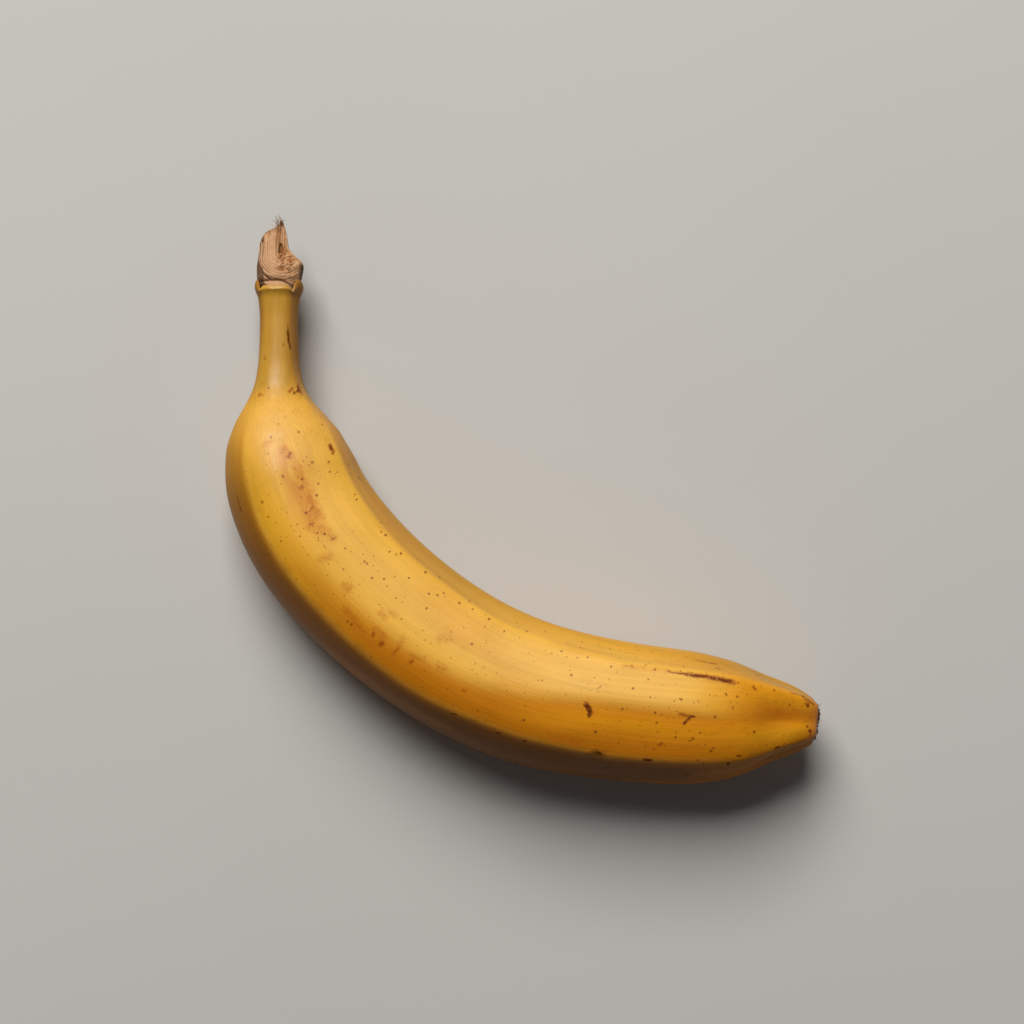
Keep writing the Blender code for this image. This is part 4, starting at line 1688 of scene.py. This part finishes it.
@dataclass
class StalkFibres:
    """Loose strands on the torn face, and the wisps that stand out at its peak."""

    axis: FruitAxis
    shape: TornShape
    finish: FibreFinish
    wraps: int = 34
    edge_strands: int = 9
    wisps: int = 22
    places: int = 40
    sides: int = 6

    def wrap_paths(self, rng: np.random.Generator) -> tuple[np.ndarray, np.ndarray]:
        """Returns strands that run down the outer side and turn under the pit.

        A strand keeps one distance from the core line: straight beside it,
        then on a circle round its end.
        """
        distance = rng.uniform(0.9, 5.6, self.wraps)[:, None]
        begin = np.maximum(1.4 + 0.42 * distance**1.15 + rng.uniform(0.0, 2.0, (self.wraps, 1)), 1.4)
        straight = np.maximum(self.shape.core_end - begin, 0.1)
        turn = rng.uniform(0.9, 2.5, (self.wraps, 1))
        length = straight + turn * distance
        share = np.linspace(0.0, 1.0, self.places)[None, :]
        run = share * length
        angle = np.maximum(run - straight, 0.0) / distance
        along = begin + np.minimum(run, straight) + distance * np.sin(angle)
        across = self.shape.core_across - distance * np.cos(angle)
        wave = 0.05 * np.sin(share * rng.uniform(4, 11, (self.wraps, 1)) + rng.uniform(0, 6, (self.wraps, 1)))
        return along, across + wave

    def edge_paths(self, rng: np.random.Generator) -> tuple[np.ndarray, np.ndarray]:
        """Returns strands that follow the torn edge from the peak to the low shoulder."""
        share = np.linspace(0.0, 1.0, self.places)[None, :]
        begin = rng.uniform(1.4, 4.5, (self.edge_strands, 1))
        end = rng.uniform(8.0, 10.8, (self.edge_strands, 1))
        along = begin + (end - begin) * share
        inset = rng.uniform(0.12, 1.0, (self.edge_strands, 1)) * (0.75 + 0.25 * np.sin(share * 5))
        return along, self.shape.torn_edge.at(along) - inset

    def wisp_paths(self, rng: np.random.Generator) -> np.ndarray:
        """Returns hairs that start at the peak and curl away beyond it, in metres."""
        share = np.linspace(0.0, 1.0, self.places)[None, :]
        size = (self.wisps, 1)
        begin = rng.uniform(0.3, 3.0, size)
        reach = rng.uniform(1.1, 2.8, size)
        lean = rng.uniform(-1.1, 1.2, size)
        first = rng.uniform(-0.1, 0.9, size) - 0.3 * (begin - 0.3)
        along = begin - reach * share * (1 - 0.12 * np.abs(lean) * share)
        across = first + lean * reach * share**1.6 * 0.7 + 0.1 * np.sin(share * rng.uniform(3, 9, size))
        lift = rng.uniform(0.1, 0.5, size) + rng.uniform(-0.5, 0.9, size) * share**1.5
        upward = self.shape.rim_height.at(begin) + lift
        return self.axis.place(along, across, upward)

    def piece(self) -> Piece:
        """Works out all strands as tubes, with a shade for each."""
        rng = np.random.default_rng(SEED)
        laid = [self.wrap_paths(rng), self.edge_paths(rng)]
        along = np.vstack([paths[0] for paths in laid])
        across = np.vstack([paths[1] for paths in laid])
        count = len(along)
        share = np.linspace(0.0, 1.0, self.places)[None, :]
        sunk = -0.01 - 0.25 * (smooth_step(share, 0.12, 0.0) + smooth_step(share, 0.88, 1.0))
        paths = self.axis.place(along, across, self.shape.top(along, across) + sunk)
        paths = np.concatenate([paths, self.wisp_paths(rng)])
        thick = rng.uniform(0.05, 0.11, (count, 1)) * np.ones_like(share)
        fine = rng.uniform(0.035, 0.10, (self.wisps, 1)) * (1 - 0.6 * share)
        radii = np.vstack([thick, fine]) * MM
        points, faces = tubes(paths, radii, self.sides)
        size = self.places * self.sides + 2
        shade = np.repeat(rng.uniform(0.2, 1.1, len(paths)), size)
        dark = np.concatenate([rng.random(count) < 0.05, rng.random(self.wisps) < 0.35])
        return Piece(
            name="stalk_fibres",
            points=points,
            faces=faces,
            values={
                "straight": points / MM,
                "shade": shade,
                "dried_and_shade": np.repeat(0.85 * dark, size),
            },
        )

    def build(self) -> bpy.types.Object:
        """Builds the strands and dresses them."""
        return self.piece().build(self.finish.material(), "torn_stalk")


# ------------------------------------------------------------ blossom end


@dataclass
class BlossomEnd:
    """The dried flower scar: a dark corky disc with a raised, cracked rim."""

    axis: FruitAxis
    section: PeelSection
    finish: FibreFinish
    centre: float = 211.3
    radius: float = 4.35
    rings: int = 150
    points_per_ring: int = 220
    profile: Course = Course((
        (0.0, 0.55), (0.14, 0.5), (0.22, -0.25), (0.45, -0.55), (0.62, -0.2), (0.76, 0.65),
        (0.86, 0.75), (0.95, 0.3), (1.0, -0.5),
    ))

    def piece(self) -> Piece:
        """Works out the disc as a turned profile with petals of noise.

        The ring number runs from the middle of the face to its edge and
        then back inside. The height over the face is the profile, with
        radial cracks, a wavy rim and rough cork on top of it.
        """
        angles = ring_angles(self.points_per_ring, 0.0)
        t = np.linspace(0.02, 1.35, self.rings)[:, None]
        face = np.minimum(t, 1.0)
        back = np.maximum(t - 1.0, 0.0)
        around = np.stack(np.broadcast_arrays(2.2 * np.sin(angles), 2.2 * np.cos(angles), 3 * face), axis=-1)
        wavy = noise(around, SEED + 31)
        cracks = rough_noise(around * np.array([3.0, 3.0, 0.5]), SEED + 32, 3)
        corky = rough_noise(around * np.array([2.5, 2.5, 3.0]), SEED + 33, 4)
        reach = self.radius * (face - 0.25 * back) * (1 + 0.05 * wavy * face)
        rim = bell(face, 0.82, 0.12)
        height = self.profile.at(face) + 0.22 * corky * smooth_step(face, 1.0, 0.9) + 0.3 * rim * cracks
        height = height + 0.25 * rim * wavy - 5.0 * back
        peel_end = np.array([self.centre])
        side, up = self.section.outline(peel_end, math.pi / 2 - angles)
        across = reach * side / self.axis.half_width.at(peel_end)
        upward = reach * up / self.axis.half_width.at(peel_end)
        along = np.broadcast_to(self.centre + height, across.shape)
        skin = self.axis.place(along, across, upward)
        ends = self.axis.place(np.array([self.centre + 0.55, self.centre - 3.0]), np.zeros(2), np.zeros(2))
        straight = grid_points(along, across, upward)
        shade = np.broadcast_to(0.35 + 0.5 * corky + 0.5 * rim * np.clip(wavy, 0, 1), across.shape)
        dried_and_shade = np.clip(0.55 + 0.5 * bell(face, 0.45, 0.18) - 0.35 * rim * (cracks > 0.2), 0, 1)
        return Piece(
            name="blossom_end",
            points=np.vstack([skin.reshape(-1, 3), ends]),
            faces=closed_faces(self.rings, self.points_per_ring),
            values={
                "straight": np.vstack([straight, [[self.centre, 0, 0]] * 2]),
                "shade": np.append(shade.ravel(), [0.5, 0.5]),
                "dried_and_shade": np.append(np.broadcast_to(dried_and_shade, across.shape).ravel(), [1.0, 1.0]),
            },
        )

    def build(self) -> bpy.types.Object:
        """Builds the disc and dresses it."""
        return self.piece().build(self.finish.material(), "blossom_end")


@dataclass
class BlossomHairs:
    """The short pale hairs left round the rim of the flower scar."""

    axis: FruitAxis
    finish: FibreFinish
    centre: float = 211.6
    radius: float = 4.2
    hairs: int = 46
    places: int = 12
    sides: int = 5

    def piece(self) -> Piece:
        """Works out the hairs: each starts on the rim and curls outward."""
        rng = np.random.default_rng(SEED + 5)
        size = (self.hairs, 1)
        share = np.linspace(0.0, 1.0, self.places)[None, :]
        angle = rng.uniform(0, 2 * math.pi, size) + rng.uniform(-0.3, 0.3, size) * share**2
        length = rng.uniform(0.5, 1.7, size)
        root = self.radius * rng.uniform(0.85, 1.08, size)
        reach = root + length * rng.uniform(0.0, 0.9, size) * share**1.5
        along = self.centre + length * share * rng.uniform(0.35, 1.0, size)
        paths = self.axis.place(along, reach * np.cos(angle), reach * np.sin(angle))
        radii = rng.uniform(0.035, 0.08, size) * (1 - 0.7 * share) * MM
        points, faces = tubes(paths, radii, self.sides)
        per_hair = self.places * self.sides + 2
        return Piece(
            name="blossom_hairs",
            points=points,
            faces=faces,
            values={
                "straight": points / MM,
                "shade": np.repeat(rng.uniform(0.3, 1.0, self.hairs), per_hair),
                "dried_and_shade": np.repeat(0.8 * (rng.random(self.hairs) < 0.2), per_hair),
            },
        )

    def build(self) -> bpy.types.Object:
        """Builds the hairs and dresses them."""
        return self.piece().build(self.finish.material(), "blossom_end")


# ----------------------------------------------------------------- studio


@dataclass(frozen=True)
class FloorFinish:
    """Pale matte card with the faintest unevenness."""

    light: Colour = (0.56, 0.555, 0.54)
    dim: Colour = (0.52, 0.515, 0.50)

    def material(self) -> bpy.types.Material:
        """Builds the material."""
        wires = Wiring("pale_floor")
        place = wires.node("TexCoord", {}).outputs["Object"]
        return wires.finish(
            Base_Color=wires.blend(wires.noise(place, 6.0, 3.0), self.light, self.dim),
            Roughness=0.9,
            Specular_IOR_Level=0.1,
        )


@dataclass(frozen=True)
class Studio:
    """The pale floor, the soft light and the camera that looks straight down.

    The camera's turn shows the fruit with its stem up and to the left. The
    key light's bearing is counted clockwise from the top of the view. Angles
    are in degrees and lengths in metres.
    """

    box: tuple[Vector, Vector]
    viewpoint: Viewpoint
    turn: float = 42.7
    floor_size: float = 6.0
    floor_gap: float = 0.00002
    key_clockwise: float = -14
    key_lift: float = 47
    key_distance: float = 1.7
    key_size: float = 1.0
    key_power: float = 37.0
    key_colour: Colour = (1.0, 0.97, 0.92)
    sky_colour: Colour = (0.9, 0.95, 1.0)
    sky_strength: float = 0.06

    def floor(self) -> None:
        """Lays the floor under the fruit."""
        half = self.floor_size / 2
        z = self.box[0].z - self.floor_gap
        corners = [(-half, -half, z), (half, -half, z), (half, half, z), (-half, half, z)]
        mesh = bpy.data.meshes.new("floor")
        mesh.from_pydata(corners, [], [(0, 1, 2, 3)])
        mesh.materials.append(FloorFinish().material())
        floor = bpy.data.objects.new("floor", mesh)
        bpy.context.scene.collection.objects.link(floor)

    def key_light(self) -> None:
        """Adds the square soft light that faces the fruit."""
        bearing = math.radians(self.turn + 90 - self.key_clockwise)
        lift = math.radians(self.key_lift)
        level = math.cos(lift)
        towards = Vector((math.cos(bearing) * level, math.sin(bearing) * level, math.sin(lift)))
        light = bpy.data.lights.new("key", "AREA")
        light.shape = "SQUARE"
        light.size = self.key_size
        light.energy = self.key_power
        light.color = self.key_colour
        lamp = bpy.data.objects.new("key", light)
        lamp.location = (self.box[0] + self.box[1]) / 2 + towards * self.key_distance
        lamp.rotation_euler = towards.to_track_quat("Z", "Y").to_euler()
        bpy.context.scene.collection.objects.link(lamp)

    def surroundings(self) -> None:
        """Adds the weak, slightly blue light from all round."""
        world = bpy.data.worlds.new("surroundings")
        world.use_nodes = True
        background = world.node_tree.nodes["Background"]
        background.inputs["Color"].default_value = (*self.sky_colour, 1.0)
        background.inputs["Strength"].default_value = self.sky_strength
        bpy.context.scene.world = world

    def camera(self) -> None:
        """Adds the camera above the fruit, looking straight down."""
        data = bpy.data.cameras.new("camera")
        data.lens = self.viewpoint.lens
        data.sensor_width = self.viewpoint.sensor
        camera = bpy.data.objects.new("camera", data)
        camera.location = self.viewpoint.place()
        camera.rotation_euler = (0.0, 0.0, math.radians(self.turn))
        bpy.context.scene.collection.objects.link(camera)
        bpy.context.scene.camera = camera

    def build(self) -> None:
        """Builds the whole studio."""
        self.floor()
        self.key_light()
        self.surroundings()
        self.camera()
        bpy.context.scene.view_settings.view_transform = "Standard"


def main() -> None:
    """Builds the fruit's pieces in order, then the studio."""
    logging.basicConfig(level=logging.INFO, format="%(name)s: %(message)s")
    axis = FruitAxis(CAD_BOX)
    section = PeelSection(axis)
    fibre = FibreFinish("torn_fibre", (0.56, 0.315, 0.165), (0.32, 0.125, 0.03), (0.06, 0.020, 0.007))
    wisp = FibreFinish("loose_fibre", (0.62, 0.38, 0.22), (0.40, 0.19, 0.07), (0.06, 0.02, 0.008))
    cork = FibreFinish("blossom_cork", (0.22, 0.12, 0.06), (0.10, 0.045, 0.02), (0.012, 0.007, 0.005), 0.8)
    hair = FibreFinish("blossom_hair", (0.60, 0.50, 0.40), (0.30, 0.2, 0.13), (0.05, 0.03, 0.02))
    shape = TornShape()
    viewpoint = Viewpoint(CAD_BOX)
    Peel(axis, section, PeelMap(), viewpoint).build()
    TornStalk(axis, shape, fibre).build()
    StalkFibres(axis, shape, wisp).build()
    BlossomEnd(axis, section, cork).build()
    BlossomHairs(axis, hair).build()
    Studio(CAD_BOX, viewpoint).build()
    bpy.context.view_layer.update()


if __name__ == "__main__":
    main()
